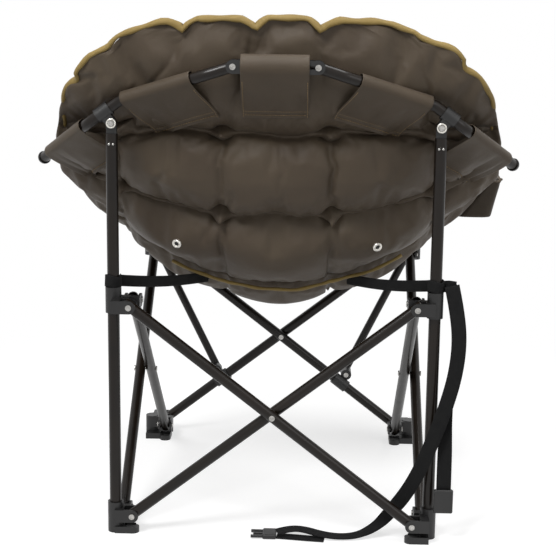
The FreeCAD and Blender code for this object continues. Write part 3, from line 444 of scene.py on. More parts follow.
def unit(vectors):
    """Vectors at length 1."""
    return vectors / np.maximum(np.linalg.norm(vectors, axis=-1, keepdims=True), 1e-9)


def tube_mesh(path, radius, sides=10, flat=1.0, normals=(0, 1, 0)):
    """Vertices and faces of a closed-end tube along a path; flat squeezes it along the given normals."""
    path = np.asarray(path, float)
    tangents = unit(np.gradient(path, axis=0))
    normals = np.asarray(normals, float)
    normals = unit(normals - tangents * np.sum(normals * tangents, axis=1)[:, None])
    sidewards = np.cross(tangents, normals)
    turn = np.linspace(0, 2 * np.pi, sides, endpoint=False)
    ring = (normals[:, None, :] * (np.cos(turn) * flat)[None, :, None]
            + sidewards[:, None, :] * np.sin(turn)[None, :, None])
    radius = np.broadcast_to(np.asarray(radius, float), (len(path),))
    verts = (path[:, None, :] + ring * radius[:, None, None]).reshape(-1, 3)
    return verts, grid_faces(len(path), sides, wrap=True) + end_faces(len(path), sides)


def join_meshes(pieces):
    verts, faces, offset = [], [], 0
    for piece_verts, piece_faces in pieces:
        verts.append(np.asarray(piece_verts, float))
        faces += [tuple(i + offset for i in face) for face in piece_faces]
        offset += len(piece_verts)
    return np.concatenate(verts), faces


def resample(path, step):
    """Points every step along a path."""
    path = np.asarray(path, float)
    length = np.concatenate([[0], np.cumsum(np.linalg.norm(np.diff(path, axis=0), axis=1))])
    count = max(int(length[-1] / step), 2)
    at = np.linspace(0, length[-1], count)
    return np.stack([np.interp(at, length, path[:, i]) for i in range(3)], axis=1)


def stitch_mesh(path, lift, spacing=0.0042, length=0.0028, radius=0.00045):
    """A row of thread stitches along a path, lifted by a vector."""
    spots = resample(path, spacing)
    ways = unit(np.gradient(spots, axis=0))
    pieces = []
    for spot, way in zip(spots[1:-1], ways[1:-1]):
        ends = [spot + lift - way * length / 2, spot + lift * 1.4, spot + lift + way * length / 2]
        pieces.append(tube_mesh(ends, radius, 5))
    return join_meshes(pieces)


def spline_points(name, route):
    """Points read from a NURBS spline that has the route, in millimetres, as its control points."""
    curve = bpy.data.curves.new(name, "CURVE")
    curve.dimensions = "3D"
    curve.resolution_u = 10
    spline = curve.splines.new("NURBS")
    spline.points.add(len(route) - 1)
    for point, place in zip(spline.points, route):
        point.co = (place[0] / 1000, place[1] / 1000, place[2] / 1000, 1)
    spline.order_u = 3
    spline.use_endpoint_u = True
    holder = bpy.data.objects.new(name, curve)
    mesh = bpy.data.meshes.new_from_object(holder)
    points = np.array([v.co for v in mesh.vertices], float)
    bpy.data.objects.remove(holder)
    bpy.data.curves.remove(curve)
    bpy.data.meshes.remove(mesh)
    return points


def ribbon_mesh(points, facings, width, thick):
    """A flat webbing band with rounded edges along points; facings are its normals, or one for all."""
    points = np.asarray(points, float)
    along = unit(np.gradient(points, axis=0))
    across = unit(np.cross(along, np.asarray(facings, float)))
    normal = np.cross(across, along)
    half, lift = width / 2, thick / 2
    flat = (-half + lift, -half * 0.5, 0, half * 0.5, half - lift)
    profile = [(-half, 0), *((a, -lift) for a in flat), (half, 0), *((a, lift) for a in flat[::-1])]
    verts = []
    for point, side, up in zip(points, across, normal):
        verts += [point + side * a + up * b for a, b in profile]
    faces = grid_faces(len(points), len(profile), wrap=True) + end_faces(len(points), len(profile))
    return np.array(verts), faces


# The bowl's form

def spline_table(angle, column):
    """A station column at any fan angle, by a cubic through the stations."""
    xs, ys = STATIONS[:, ANGLE], STATIONS[:, column]
    slopes = np.gradient(ys, xs)
    i = np.clip(np.searchsorted(xs, angle) - 1, 0, len(xs) - 2)
    step = xs[i + 1] - xs[i]
    t = (angle - xs[i]) / step
    return ((2 * t ** 3 - 3 * t ** 2 + 1) * ys[i] + (t ** 3 - 2 * t ** 2 + t) * step * slopes[i]
            + (-2 * t ** 3 + 3 * t ** 2) * ys[i + 1] + (t ** 3 - t ** 2) * step * slopes[i + 1])


def cell(value, edges):
    """Distance to the nearer cell edge as a share of the half cell."""
    edges = np.asarray(edges, float)
    i = np.clip(np.searchsorted(edges, value, side="right") - 1, 0, len(edges) - 2)
    share = (value - edges[i]) / (edges[i + 1] - edges[i])
    return 1 - np.abs(2 * np.clip(share, 0, 1) - 1)


def fan_xyz(angle, x, reach):
    """Points in metres at a fan angle, from x and reach in millimetres."""
    turn = np.radians(angle)
    return np.stack(np.broadcast_arrays(x, FAN_Y + reach * np.cos(turn), FAN_Z + reach * np.sin(turn)),
                    axis=-1) / 1000


def side_notch(angle, share):
    """How far the bowl's side edges are gathered in, in millimetres."""
    total = 0
    for side, place in SIDE_NOTCHES:
        near = np.exp(-((angle - place) / NOTCH_WIDE) ** 2)
        total = total + NOTCH_DEEP * near * np.clip(share * side, 0, 1) ** 6
    return total


def column_lines(angle):
    """x of the upright seams at a fan angle: from the notches of the top edge down to the first tufts."""
    lower = np.multiply.outer(spline_table(angle, HALF), np.array(COLUMNS[1:-1]))
    down = np.clip((angle - TOP) / (BACK_ROWS[1] - TOP), 0, 1)[..., None]
    return np.array(TOP_COLUMNS) * (1 - down) + lower * down


def quilt_share(angle, x):
    """Place across the quilt, with the upright seams at COLUMNS, for a row of points at each angle."""
    rows = []
    for lines, half, row in zip(column_lines(angle), spline_table(angle, HALF), x):
        rows.append(np.interp(row, [-half, *lines, half], COLUMNS))
    return np.array(rows)


def pad_reach(angle, share, rows, inner, quilt=None):
    """Reach of the quilted skin from the fan's axis, in millimetres, and how far the quilt is puffed."""
    quilt = share if quilt is None else quilt
    middle, rim = (spline_table(angle, c) for c in (MIDDLE, RIM))
    base = middle - (middle - rim) * share ** 2
    row = cell(angle, rows)
    column = cell(quilt, COLUMNS)
    sewn = (angle > rows[0] + TUFT_CLEAR) & (angle < rows[-1] - TUFT_CLEAR) & (np.abs(share) < 0.9)
    tuft = np.exp(-(column / 0.16) ** 2 - (row / 0.2) ** 2) * sewn
    puff = np.clip(row ** 0.42 * (0.66 + 0.34 * column ** 0.5), 0, 1)
    thick = PAD_THICK - PAD_LESS * share ** 2
    lip = np.clip(np.minimum(angle - TOP, FRONT - angle) / LIP_RUN, 0, 1)
    thick = thick * (0.42 + 0.58 * lip ** 0.6)
    seam_depth = measure("tuft_depth") * 1000
    drawn = seam_depth * (1 - puff) * (1 - 0.6 * np.abs(share) ** 8) + TUFT_POINT * tuft
    drawn = drawn * (0.35 + 0.65 * lip)
    if inner:
        return base - thick + np.minimum(drawn * 0.75, thick / 2 - 4), puff * (1 - tuft)
    return base - np.minimum(drawn, thick / 2 - 1), puff * (1 - tuft)


def skins(angle, share, rows):
    """Reach of the outer and of the inner skin."""
    return [pad_reach(angle, share, rows, inner)[0] for inner in (False, True)]


def scallop(x):
    """How far the top edge is gathered down, in degrees of the fan, at x in millimetres."""
    near = cell(np.asarray(x, float), NOTCHES)
    return SCALLOP * (1 - np.clip(near * 2.6, 0, 1) ** 0.5)


SKIN = {}


def skin_y(x, z):
    """y of the backrest's rear skin, in metres, straight in front of a point behind it."""
    spot, _, _, _ = SKIN["back_pad"].ray_cast(Vector((x, -1.0, z)), Vector((0, 1, 0)))
    return spot.y if spot else -0.1


def pad_mesh(first, last, rows, across, along):
    """Both quilted skins of one half of the bowl, closed round their edges, with pinning weights."""
    angle = np.linspace(first, last, along)[:, None]
    share = np.linspace(-1, 1, across)[None, :]
    half = spline_table(angle, HALF)
    quilt = quilt_share(angle[:, 0], half * share)
    fall = scallop(half * share) * np.clip(1 - (angle - TOP) / SCALLOP_FADE, 0, 1)
    layers, weights = [], []
    for inner in (False, True):
        reach, puff = pad_reach(angle, share, rows, inner, quilt)
        edge = np.abs(share) ** 6 * (INNER_INSET if inner else 0)
        x = (half - edge - side_notch(angle, share)) * share
        layers.append(fan_xyz(angle + fall, x, reach).reshape(-1, 3))
        rim = (np.abs(share) > 0.985) | (angle < first + 0.6) | (angle > last - 0.6)
        weights.append(np.where(rim, 1.0, np.clip(1 - puff * 2.2, 0, 1)).reshape(-1))
    verts = np.concatenate(layers)
    count = across * along
    faces = [face[::-1] for face in grid_faces(along, across)]
    faces += grid_faces(along, across, start=count)
    spots = np.arange(count).reshape(along, across)
    ring = [*spots[0], *spots[1:, -1], *spots[-1, -2::-1], *spots[-2:0:-1, 0]]
    for a, b in zip(ring, ring[1:] + ring[:1]):
        faces.append((a, b, b + count, a + count))
    return verts, faces, np.concatenate(weights)


def inflate(obj, weights):
    """Swell a padded piece with Blender's Cloth, held at its seams, and bake the result."""
    start = np.array([v.co for v in obj.data.vertices], float)
    group = obj.vertex_groups.new(name="seams")
    for index, weight in enumerate(weights):
        if weight > 0.02:
            group.add([index], float(weight), "REPLACE")
    modifier = obj.modifiers.new("Cloth", "CLOTH")
    for name, value in CLOTH.items():
        setattr(modifier.settings, name, value)
    modifier.settings.effector_weights.gravity = 0
    scene = bpy.context.scene
    scene.frame_start = 1
    scene.frame_end = FRAMES
    modifier.point_cache.frame_start = 1
    modifier.point_cache.frame_end = FRAMES
    for step in range(1, FRAMES + 1):
        scene.frame_set(step)
    depsgraph = bpy.context.evaluated_depsgraph_get()
    baked = obj.evaluated_get(depsgraph).to_mesh()
    moved = np.array([v.co for v in baked.vertices], float)
    obj.evaluated_get(depsgraph).to_mesh_clear()
    obj.modifiers.remove(modifier)
    obj.vertex_groups.remove(group)
    scene.frame_set(1)
    shift = moved - start
    size = np.linalg.norm(shift, axis=1)
    shift *= np.minimum(1, SWELL_CAP / np.maximum(size, 1e-9))[:, None]
    obj.data.vertices.foreach_set("co", (start + shift).reshape(-1).astype(np.float32))
    obj.data.update()


def groove(gap, form):
    """Depth of a sewn groove at a distance from its line, from its depth and width."""
    deep, wide = form
    return deep * np.exp(-(gap / wide) ** 2)


def sew(obj, rows, seed):
    """Draw a swollen pad in along its seams and at its tufts, with creases that run out from the tufts."""
    rng = np.random.default_rng(seed)
    count = len(obj.data.vertices)
    spots = np.empty(count * 3)
    normals = np.empty(count * 3)
    obj.data.vertices.foreach_get("co", spots)
    obj.data.vertices.foreach_get("normal", normals)
    spots, normals = spots.reshape(-1, 3), normals.reshape(-1, 3)
    away = spots * (0, 1000, 1000) - (0, FAN_Y, FAN_Z)
    reach = np.linalg.norm(away, axis=1)
    away /= reach[:, None]
    angle = np.degrees(np.arctan2(away[:, 2], away[:, 1])) % 360
    x = spots[:, 0] * 1000
    half = spline_table(np.clip(angle, TOP, FRONT), HALF)
    side = np.sum(normals * away, axis=1)
    share = np.clip(x / half, -1, 1)
    depth = np.zeros(count)
    for row in rows[1:-1]:
        wavy = 5 * np.sin(x / 46 + row) + 3 * np.sin(x / 21 + 2 * row)
        gap = np.radians(angle - row) * reach + wavy
        depth += groove(gap, ROW_STITCH) + groove(gap, ROW_VALLEY)
    wander = 4 * np.sin(angle / 3.1) + 2 * np.sin(angle / 1.3)
    columns = column_lines(np.clip(angle, TOP, FRONT))
    for number in range(columns.shape[1]):
        gap = x - columns[:, number] + wander * (1 if number % 2 else -1)
        strength = 0.35 + 0.65 * np.clip(np.sin(angle / 9 + 2.2 * number), 0, 1)
        depth += strength * (groove(gap, COLUMN_STITCH) + groove(gap, COLUMN_VALLEY))
    for row in rows[1:-1]:
        for number in range(columns.shape[1]):
            down = np.radians(angle - row) * reach
            over = x - columns[:, number]
            depth += groove(np.hypot(over, down), TUFT_DIMPLE)
            for turn in rng.uniform(0, 2 * np.pi, CREASES):
                length, width = rng.uniform(*CREASE_LONG), rng.uniform(*CREASE_WIDE)
                along = over * math.cos(turn) + down * math.sin(turn)
                bend = CREASE_BEND * along ** 2 * math.sin(3 * turn)
                cross = -over * math.sin(turn) + down * math.cos(turn) + bend
                fade = np.clip(1 - along / length, 0, 1) * (along > 0)
                depth += fade * groove(cross, (rng.uniform(*CREASE_DEEP), width))
    depth *= np.clip((1 - np.abs(share)) * 9, 0, 1) * np.clip((angle - TOP - 1) / 6, 0, 1)
    depth *= np.clip(np.abs(side) * 3 - 0.4, 0, 1) * np.where(side > 0, 1, 0.6)
    spots -= away * (np.sign(side) * depth)[:, None] / 1000
    obj.data.vertices.foreach_set("co", spots.reshape(-1))
    obj.data.update()


# Soft pieces

def finish_soft(obj, body, nodes=(), crush=True):
    """Parent to the body, hide the parts it stands for, and give it a mesh of its own when crush is set."""
    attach(obj, body)
    if nodes:
        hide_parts(*nodes)
    if crush:
        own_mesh(obj)


def add_piece(name, mesh, material, body, nodes=(), crush=True):
    """A finished piece from its vertices and faces."""
    obj = mesh_object(name, *mesh, MATERIALS[material])
    outward(obj)
    finish_soft(obj, body, nodes, crush)
    return obj


def build_pad(name, first, last, rows, body, node):
    """One padded half of the bowl: quilted, swollen, sewn, and kept for ray casts on its skin."""
    verts, faces, weights = pad_mesh(first, last, rows, PAD_ACROSS, PAD_ALONG)
    obj = mesh_object(name, verts, faces, MATERIALS["padded_cloth"])
    inflate(obj, weights)
    outward(obj)
    apply_modifier(obj, "SUBSURF", levels=1)
    sew(obj, rows, len(node))
    SKIN[node] = BVHTree.FromPolygons([v.co for v in obj.data.vertices],
                                      [tuple(f.vertices) for f in obj.data.polygons])
    finish_soft(obj, body, [node])


def rim_path(first, last, share):
    """The bowl's edge down one side; along the arms the tape sits on the inner edge."""
    angle = np.linspace(first, last, 90)
    half = spline_table(angle, HALF)
    outer, inner = skins(angle, np.full_like(angle, share), (first, last))
    turned = np.clip((angle - 172) / 12, 0, 1) * np.clip((FRONT - angle) / 14, 0, 1)
    reach = (outer * 0.95 + inner * 0.05) * (1 - turned) + (inner + 2) * turned
    return fan_xyz(angle, (half - INNER_INSET * turned - side_notch(angle, share)) * share, reach)


def edge_path(angle, raised=None):
    """A line across the bowl: between its skins, or raised from the outer one by millimetres."""
    share = np.linspace(-1, 1, 240)
    half = spline_table(np.array([angle]), HALF)[0]
    outer, inner = skins(np.full_like(share, angle), share, (angle - 5, angle + 5))
    reach = outer * TAPE_SIDE + inner * (1 - TAPE_SIDE) if raised is None else outer + raised
    fall = scallop(half * share) if angle == TOP else 0
    inside = TAPE_INSET * (1 if angle == TOP else -1 if angle == FRONT else 0)
    return fan_xyz(angle + inside + fall + np.zeros_like(share), half * share, reach)


def build_binding(name, path, radius, body, seed):
    """Folded binding tape along an edge, gathered a little as sewn tape is."""
    path = resample(path, TAPE_STEP)
    rng = np.random.default_rng(seed)
    phase = np.linspace(0, len(path) * 0.42, len(path))
    wobble = np.sin(phase * 0.6 + rng.uniform(0, 6)) * 0.0011
    wobble = wobble + np.sin(phase * 1.37 + rng.uniform(0, 6)) * 0.0007
    path = path + np.stack([wobble * 0.4, wobble, wobble], axis=1)
    gathered = radius * (1 + 0.12 * np.sin(phase * 1.9))
    tape = tube_mesh(path, gathered, 12, 0.6, path - path.mean(axis=0))
    add_piece(name, tape, "binding", body)


def build_eyelet(name, x, z):
    """A plated eyelet pressed into the backrest, with a black disc in its hole as painted shade for the
    hole's depth.
    """
    y = skin_y(x, z)
    tilt = (skin_y(x, z + 0.01) - skin_y(x, z - 0.01)) / 0.02
    turn_x = (skin_y(x + 0.01, z) - skin_y(x - 0.01, z)) / 0.02
    normal = Vector((turn_x, -1.0, tilt)).normalized()
    turn = np.linspace(0, 2 * np.pi, 32, endpoint=False)
    side = normal.orthogonal().normalized()
    up = normal.cross(side)
    centre = Vector((x, y, z)) + normal * EYELET_LIFT

    def circle(radius, lift):
        return [centre + side * (radius * math.cos(a)) + up * (radius * math.sin(a)) + normal * lift
                for a in turn]

    verts = [spot for radius, lift in EYELET_RINGS for spot in circle(radius, lift)]
    faces = grid_faces(len(EYELET_RINGS), len(turn), wrap=True)
    eyelet = mesh_object(name, verts, faces, MATERIALS["nickel"])
    outward(eyelet)
    # Painted shade: a black moulding disc stands in for the shaded depth of the hole
    hole_shade = mesh_object(name + "_hole", circle(*EYELET_SHADE_DISC), [tuple(range(len(turn)))], MATERIALS["moulding"])
    for piece in (eyelet, hole_shade):
        finish_soft(piece, "left_post")


def sleeve_profile(inner, drop):
    """Section of a hoop sleeve: (behind, below, share of the lean) round the tube and down to its hem."""
    around = np.radians(np.linspace(150, -30, LOOP_POINTS)) - math.pi / 2
    loop = [(-inner * math.sin(a), -inner * math.cos(a), 0) for a in around]
    start = loop[-1]
    back = []
    for t in np.linspace(0.1, 1, FLAP_POINTS):
        belly = FLAP_BELLY * math.sin(math.pi * t)
        back.append((start[0] + (inner - start[0]) * t + belly, start[1] + (drop - start[1]) * t, t))
    tail = [(inner, drop + HEM * t, 1 + 0.1 * t) for t in (0.5, 1.0)]
    return np.array(loop + back + tail)


def sleeve_ripple(along, down, rng):
    """Slanting ripples of a flap, in metres, fading towards the tube and the hem."""
    ripple = 0
    for _ in range(RIPPLES):
        slant, waves, shift = rng.uniform(-3, 3), rng.uniform(1.0, 3.5), rng.uniform(0, 6)
        ripple = ripple + np.sin(2 * np.pi * (waves * along + slant * down) + shift)
    return ripple * RIPPLE_HIGH * np.clip((down - 0.45) * 3, 0, 1) * np.clip((1.0 - down) * 6, 0.15, 1)


def build_sleeve(node, run, radius, drop, inwards, body, seed):
    """Cloth sleeve over a run of hoop tube, hanging down behind the bowl and sewn to it."""
    start, end = np.array(run, float)
    along = unit(end - start)
    down = np.array([0.0, 0.0, -1.0])
    down = unit(down - along * down.dot(along))
    back = np.cross(down, along)
    if back[1] > 0:
        back = -back
    profile = sleeve_profile(radius, drop)
    rows = []
    for t in np.linspace(0, 1, SLEEVE_COLUMNS):
        centre = start + (end - start) * t
        foot = centre + down * drop + back * radius
        way = np.array([-inwards * np.sign(centre[0]), 1, 0])
        lean = np.zeros(3)
        for _ in range(3):
            spot = foot + lean
            lean = lean + way * (skin_y(spot[0], spot[2]) - spot[1])
        rows.append(centre + profile[:, :1] * back + profile[:, 1:2] * down + profile[:, 2:] * lean)
    verts = np.array(rows)
    count = verts.shape[1]
    ripple = sleeve_ripple(np.linspace(0, 1, SLEEVE_COLUMNS)[:, None], np.linspace(0, 1, count)[None, :],
                           np.random.default_rng(seed))
    verts = verts + ripple[:, :, None] * back
    for spot in verts[:, LOOP_POINTS - 1:].reshape(-1, 3):
        spot[1] = min(spot[1], skin_y(spot[0], spot[2]) - FLAP_GAP)
    name = node + "_cloth"
    obj = mesh_object(name, verts.reshape(-1, 3), grid_faces(SLEEVE_COLUMNS, count), MATERIALS["cloth"])
    apply_modifier(obj, "SOLIDIFY", thickness=measure("sleeve_thick"), offset=0.0)
    outward(obj)
    apply_modifier(obj, "SUBSURF", levels=1)
    finish_soft(obj, body, [node], crush=False)
    lift = back * STITCH_LIFT
    lines = [stitch_mesh(verts[1:-1, row], lift) for row in (-3, -2)]
    lines += [stitch_mesh(verts[column, LOOP_POINTS + 1:], lift) for column in (1, -2)]
    thread = mesh_object(name + "_stitches", *join_meshes(lines), MATERIALS["stitch"])
    finish_soft(thread, body, crush=False)


def build_strap(name, route, facings, node):
    """A webbing strap along a route, and the points that it follows."""
    points = spline_points(name, route)
    at = np.linspace(0, 1, len(points))
    keys = np.linspace(0, 1, len(facings))
    faces_at = np.stack([np.interp(at, keys, np.array(facings)[:, i]) for i in range(3)], axis=1)
    band = ribbon_mesh(points, faces_at, measure("web_width"), measure("web_thick"))
    return add_piece(name, band, "webbing", "right_collar", [node], crush=False), points


def declare_strap():
    """Reads the strap width from the settings; nothing more is done here."""
    measure("web_width")


def build_tie(side, sign):
    """Webbing round the post above the collar, running inwards to the bowl."""
    low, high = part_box(f"seat_tie_{side}")
    width, thick = measure("tie_width"), measure("web_thick")
    z = (low[2] + high[2]) / 2
    pieces = []
    centre = np.array([sign * CORNER, -CORNER, z])
    for layer, radius in enumerate(TIE_WRAPS):
        turn = np.linspace(0.3, 2 * np.pi - 0.3 + 0.2 * layer, 40) + (0.6 if sign < 0 else 2.0)
        wave = 0.002 * np.sin(turn * 2)
        ring = centre + np.stack([radius * np.cos(turn), radius * np.sin(turn), wave], axis=1)
        pieces.append(ribbon_mesh(ring, ring - centre, width, TIE_WRAP_THICK))
    way = Vector((sign * TIE_AIM[0], TIE_AIM[1], z + TIE_AIM[2])) - Vector(centre)
    way.normalize()
    hits = [tree.ray_cast(Vector(centre), way) for tree in SKIN.values()]
    reach = min(hit[3] for hit in hits if hit[0])
    near, far = (centre + np.array(way) * step for step in (TIE_START, reach + TIE_SUNK))
    share = np.linspace(0, 1, 14)[:, None]
    run = near + (far - near) * share + np.array([0, 0, -TIE_SAG]) * np.sin(np.pi * share)
    pieces.append(ribbon_mesh(run, (sign * 0.75, 0.45, 0.12), width, thick))
    if side == "right":
        loop = np.array([[0.2815, -0.2710, z], [0.292, -0.2735, z + 0.001], [0.303, -0.2765, z]])
        pieces.append(ribbon_mesh(loop, (0, -1, 0), width, thick))
    add_piece(f"tie_{side}", join_meshes(pieces), "webbing", f"{side}_collar",
              [f"seat_tie_{side}"], crush=False)


def build_pouch():
    """Cloth cup pouch on the right arm: four sagging walls, a floor and a bound mouth."""
    low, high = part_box("cup_pouch")
    turn = np.linspace(0, 2 * np.pi, POUCH_COLUMNS, endpoint=False)
    square = np.stack([np.cos(turn), np.sin(turn)], axis=1)
    square /= (np.abs(square) ** 5).sum(axis=1)[:, None] ** 0.2
    verts = []
    for t in np.linspace(0, 1, POUCH_ROWS):
        z = low[2] + (high[2] - low[2]) * t
        outer = high[0] - POUCH_TAPER * (1 - t) - 0.002
        # The wall towards the bowl follows its slope
        inner = 0.327 + 0.05 * (z - 0.52) / 0.06 + 0.004
        inner = min(inner, outer - 0.02)
        mid_x, half_x = (outer + inner) / 2, (outer - inner) / 2
        mid_y, half_y = (low[1] + high[1]) / 2, (high[1] - low[1]) / 2 - POUCH_SIDE_TAPER * (1 - t)
        sag = 1 - 0.05 * math.sin(math.pi * t)
        for sx, sy in square:
            lip = POUCH_LIP * (sx > 0.6) * (t > 0.9) * abs(sy)
            verts.append((mid_x + sx * half_x, mid_y + sy * half_y * sag, z + lip))
    faces = grid_faces(POUCH_ROWS, POUCH_COLUMNS, wrap=True) + end_faces(POUCH_ROWS, POUCH_COLUMNS)[:1]
    obj = mesh_object("cup_pouch_cloth", verts, faces, MATERIALS["lining"])
    apply_modifier(obj, "SOLIDIFY", thickness=POUCH_WALL, offset=-1.0)
    outward(obj)
    apply_modifier(obj, "SUBSURF", levels=1)
    finish_soft(obj, "seat", ["cup_pouch"])
    mouth = np.array(verts[-POUCH_COLUMNS:] + verts[-POUCH_COLUMNS:-POUCH_COLUMNS + 2])
    add_piece("cup_pouch_binding", tube_mesh(mouth, MOUTH_TAPE, 8, 0.7, (0, 0, 1)), "cloth", "seat")


# Small metal trim at the posts' tops

def build_post_rivets(side, sign):
    """Two small rivets side by side in the back of a post."""
    pieces = []
    for offset in RIVET_OFFSETS:
        face = -CORNER - math.sqrt(POST_RADIUS ** 2 - offset ** 2)
        head = [(sign * CORNER + offset, face - lift, RIVETS_Z) for lift in RIVET_LIFTS]
        pieces.append(tube_mesh(head, RIVET_RADII, 16, normals=(0, 0, 1)))
    add_piece(f"post_rivets_{side}", join_meshes(pieces), "rivet", f"{side}_post", crush=False)


def build_washer(side, sign):
    """A bright washer round the hoop's pivot rivet; the ring overlaps itself by one step."""
    turn = np.linspace(0, 2 * np.pi, 41)[[*range(41), 1]]
    ring = np.stack([sign * CORNER + WASHER_RADIUS * np.cos(turn), np.full(len(turn), WASHER_Y),
                     POST_PIVOT + WASHER_RADIUS * np.sin(turn)], axis=1)
    add_piece(f"pivot_washer_{side}", tube_mesh(ring, WASHER_WIRE, 12, 0.7), "nickel",
              f"{side}_back_bar", crush=False)


# Stage

def seen_or_mirrored(tree):
    """1 for rays that show the stage itself, to the camera or in a gloss, and 0 for its light."""
    paths = add_node(tree, "LightPath").outputs
    return add_node(tree, "Math", {0: paths["Is Camera Ray"], 1: paths["Is Glossy Ray"]},
                    operation="MAXIMUM").outputs[0]


def build_backdrop():
    """A white backdrop that lights the chair only dimly."""
    world = bpy.data.worlds.new("studio")
    bpy.context.scene.world = world
    world.use_nodes = True
    tree = world.node_tree
    tree.nodes.clear()
    dim = add_node(tree, "Background", {"Color": WHITE, "Strength": 0.26})
    white = add_node(tree, "Background", {"Color": WHITE, "Strength": 1.0})
    mix = add_node(tree, "MixShader",
                   {0: seen_or_mirrored(tree), 1: dim.outputs[0], 2: white.outputs[0]})
    add_node(tree, "OutputWorld", {"Surface": mix.outputs[0]})


def build_floor():
    """A pale floor that takes shadows and fades to white away from the chair."""
    material = bpy.data.materials.new("floor")
    material.use_nodes = True
    tree = material.node_tree
    tree.nodes.clear()
    shade = add_node(tree, "BsdfDiffuse", {"Color": (0.5, 0.5, 0.5, 1)})
    place = add_node(tree, "TexCoord").outputs["Object"]
    reach = add_node(tree, "VectorMath", {0: place}, operation="LENGTH").outputs["Value"]
    fade = add_node(tree, "MapRange", {"Value": reach, "From Min": 0.55, "From Max": 1.3},
                    interpolation_type="SMOOTHSTEP").outputs[0]
    glow = add_node(tree, "Emission", {"Color": WHITE, "Strength": 0.68})
    lit = add_node(tree, "AddShader", {0: shade.outputs[0], 1: glow.outputs[0]})
    white = add_node(tree, "Emission", {"Color": WHITE, "Strength": 1.0})
    clear = add_node(tree, "MixShader", {0: fade, 1: lit.outputs[0], 2: white.outputs[0]})
    pick = add_node(tree, "MixShader",
                    {0: seen_or_mirrored(tree), 1: shade.outputs[0], 2: clear.outputs[0]})
    add_node(tree, "OutputMaterial", {"Surface": pick.outputs[0]})
    corners = [(x * FLOOR_HALF, y * FLOOR_HALF, 0) for x, y in ((-1, -1), (1, -1), (1, 1), (-1, 1))]
    mesh_object("floor", corners, [(0, 1, 2, 3)], material, smooth=False)


def build_lights():
    for name, (place, target, power, width) in LIGHTS.items():
        lamp = bpy.data.lights.new(name, "AREA")
        lamp.energy = power
        lamp.size = width
        holder = new_object(name, lamp)
        holder.location = place
        holder.rotation_euler = (Vector(target) - Vector(place)).to_track_quat("-Z", "Y").to_euler()


def build_camera():
    """The photograph's camera, fitted to the feet, collars, post tops and hoop rivets."""
    yaw, pitch, roll = (math.radians(turn) for turn in CAMERA_TURNS)
    camera = bpy.data.cameras.new("camera")
    camera.sensor_fit = "HORIZONTAL"
    camera.sensor_width = SENSOR
    camera.lens = SENSOR * FOCAL_PIXELS / PHOTO_PIXELS
    camera.clip_end = 50
    holder = new_object("camera", camera)
    tilted = Matrix.Rotation(math.pi / 2 - pitch, 4, "X") @ Matrix.Rotation(-roll, 4, "Z")
    holder.matrix_world = Matrix.Translation(CAMERA_AT) @ Matrix.Rotation(yaw, 4, "Z") @ tilted
    bpy.context.scene.camera = holder


# The add-on

MATERIALS = {}


def colour_setting(name, description, code):
    return bpy.props.FloatVectorProperty(name=name, description=description, subtype="COLOR", min=0.0,
                                         max=1.0, default=linear(code)[:3])


def size_setting(name, description, value, most):
    return bpy.props.FloatProperty(name=name, description=description, unit="LENGTH", precision=4, min=0.0,
                                   max=most, default=value)


class ChairSettings(bpy.types.PropertyGroup):
    """Sizes and colours of the soft pieces and the tubes"""
    tuft_depth: size_setting("Seam depth", "How far the quilting is drawn in at its seams", 0.020, 0.03)
    binding_radius: size_setting("Binding", "Half the width of the tape along the rim", 0.0066, 0.012)
    web_width: size_setting("Strap width", "Width of the closure webbing", 0.025, 0.05)
    web_thick: size_setting("Strap thickness", "Thickness of all webbing", 0.0016, 0.004)
    tie_width: size_setting("Tie width", "Width of the seat ties", 0.020, 0.04)
    sleeve_thick: size_setting("Sleeve thickness", "Thickness of the hoop sleeves' cloth", 0.0014, 0.004)
    cloth_dark: colour_setting("Cloth, dark", "Darker patches of the padded cloth", "#483d31")
    cloth_light: colour_setting("Cloth, light", "Lighter patches of the padded cloth", "#53483a")
    binding_dark: colour_setting("Binding, dark", "Darker patches of the binding", "#7f6a38")
    binding_light: colour_setting("Binding, light", "Lighter patches of the binding", "#927c48")
    tube_dark: colour_setting("Tube, dark", "Darker patches of the powder coat", "#120d09")
    tube_light: colour_setting("Tube, light", "Lighter patches of the powder coat", "#1c150f")


class CHAIR_OT_stage(bpy.types.Operator):
    """Floor, lights, backdrop and the photograph's camera"""
    bl_idname = "chair.stage"
    bl_label = "Stage"

    def execute(self, context):
        context.scene.view_settings.view_transform = "Standard"
        build_backdrop()
        build_floor()
        build_lights()
        build_camera()
        return {"FINISHED"}


class CHAIR_OT_frame(bpy.types.Operator):
    """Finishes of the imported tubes, mouldings and rivets, and the trim at the posts' tops"""
    bl_idname = "chair.frame"
    bl_label = "Frame finishes"

    def execute(self, context):
        slots = {entry["node"]: entry["material_slot"] for entry in frame["record"]["subparts"]}
        for name, obj in frame["nodes"].items():
            obj.data.materials.clear()
            obj.data.materials.append(MATERIALS[slots[name]])
        for side, sign in SIDES:
            build_post_rivets(side, sign)
            build_washer(side, sign)
        return {"FINISHED"}


class CHAIR_OT_straps(bpy.types.Operator):
    """Closure strap, its tail and the short strap"""
    bl_idname = "chair.straps"
    bl_label = "Webbing"

    def execute(self, context):
        hang = [(0, -1, 0)] * 7 + [(0, -0.8, 0.25), (0, -0.5, 0.5), (0, -0.25, 0.8)] + [(0, -0.05, 1)] * 6
        turn = [(-1, 0, 0), (-1, -0.1, 0), (-0.97, -0.25, 0), (-0.9, -0.45, 0), (-0.7, -0.7, 0),
                (-0.3, -0.95, 0), (0, -1, 0)]
        tail, _ = build_strap("tail_webbing", TAIL_ROUTE, [(0, 0, 1)] * 2, "strap_tail")
        strap, points = build_strap("closure_webbing", STRAP_ROUTE, hang, "closure_strap")
        declare_strap()
        strap, points = build_strap("short_webbing", SHORT_ROUTE, turn, "short_strap")
        declare_strap()
        return {"FINISHED"}


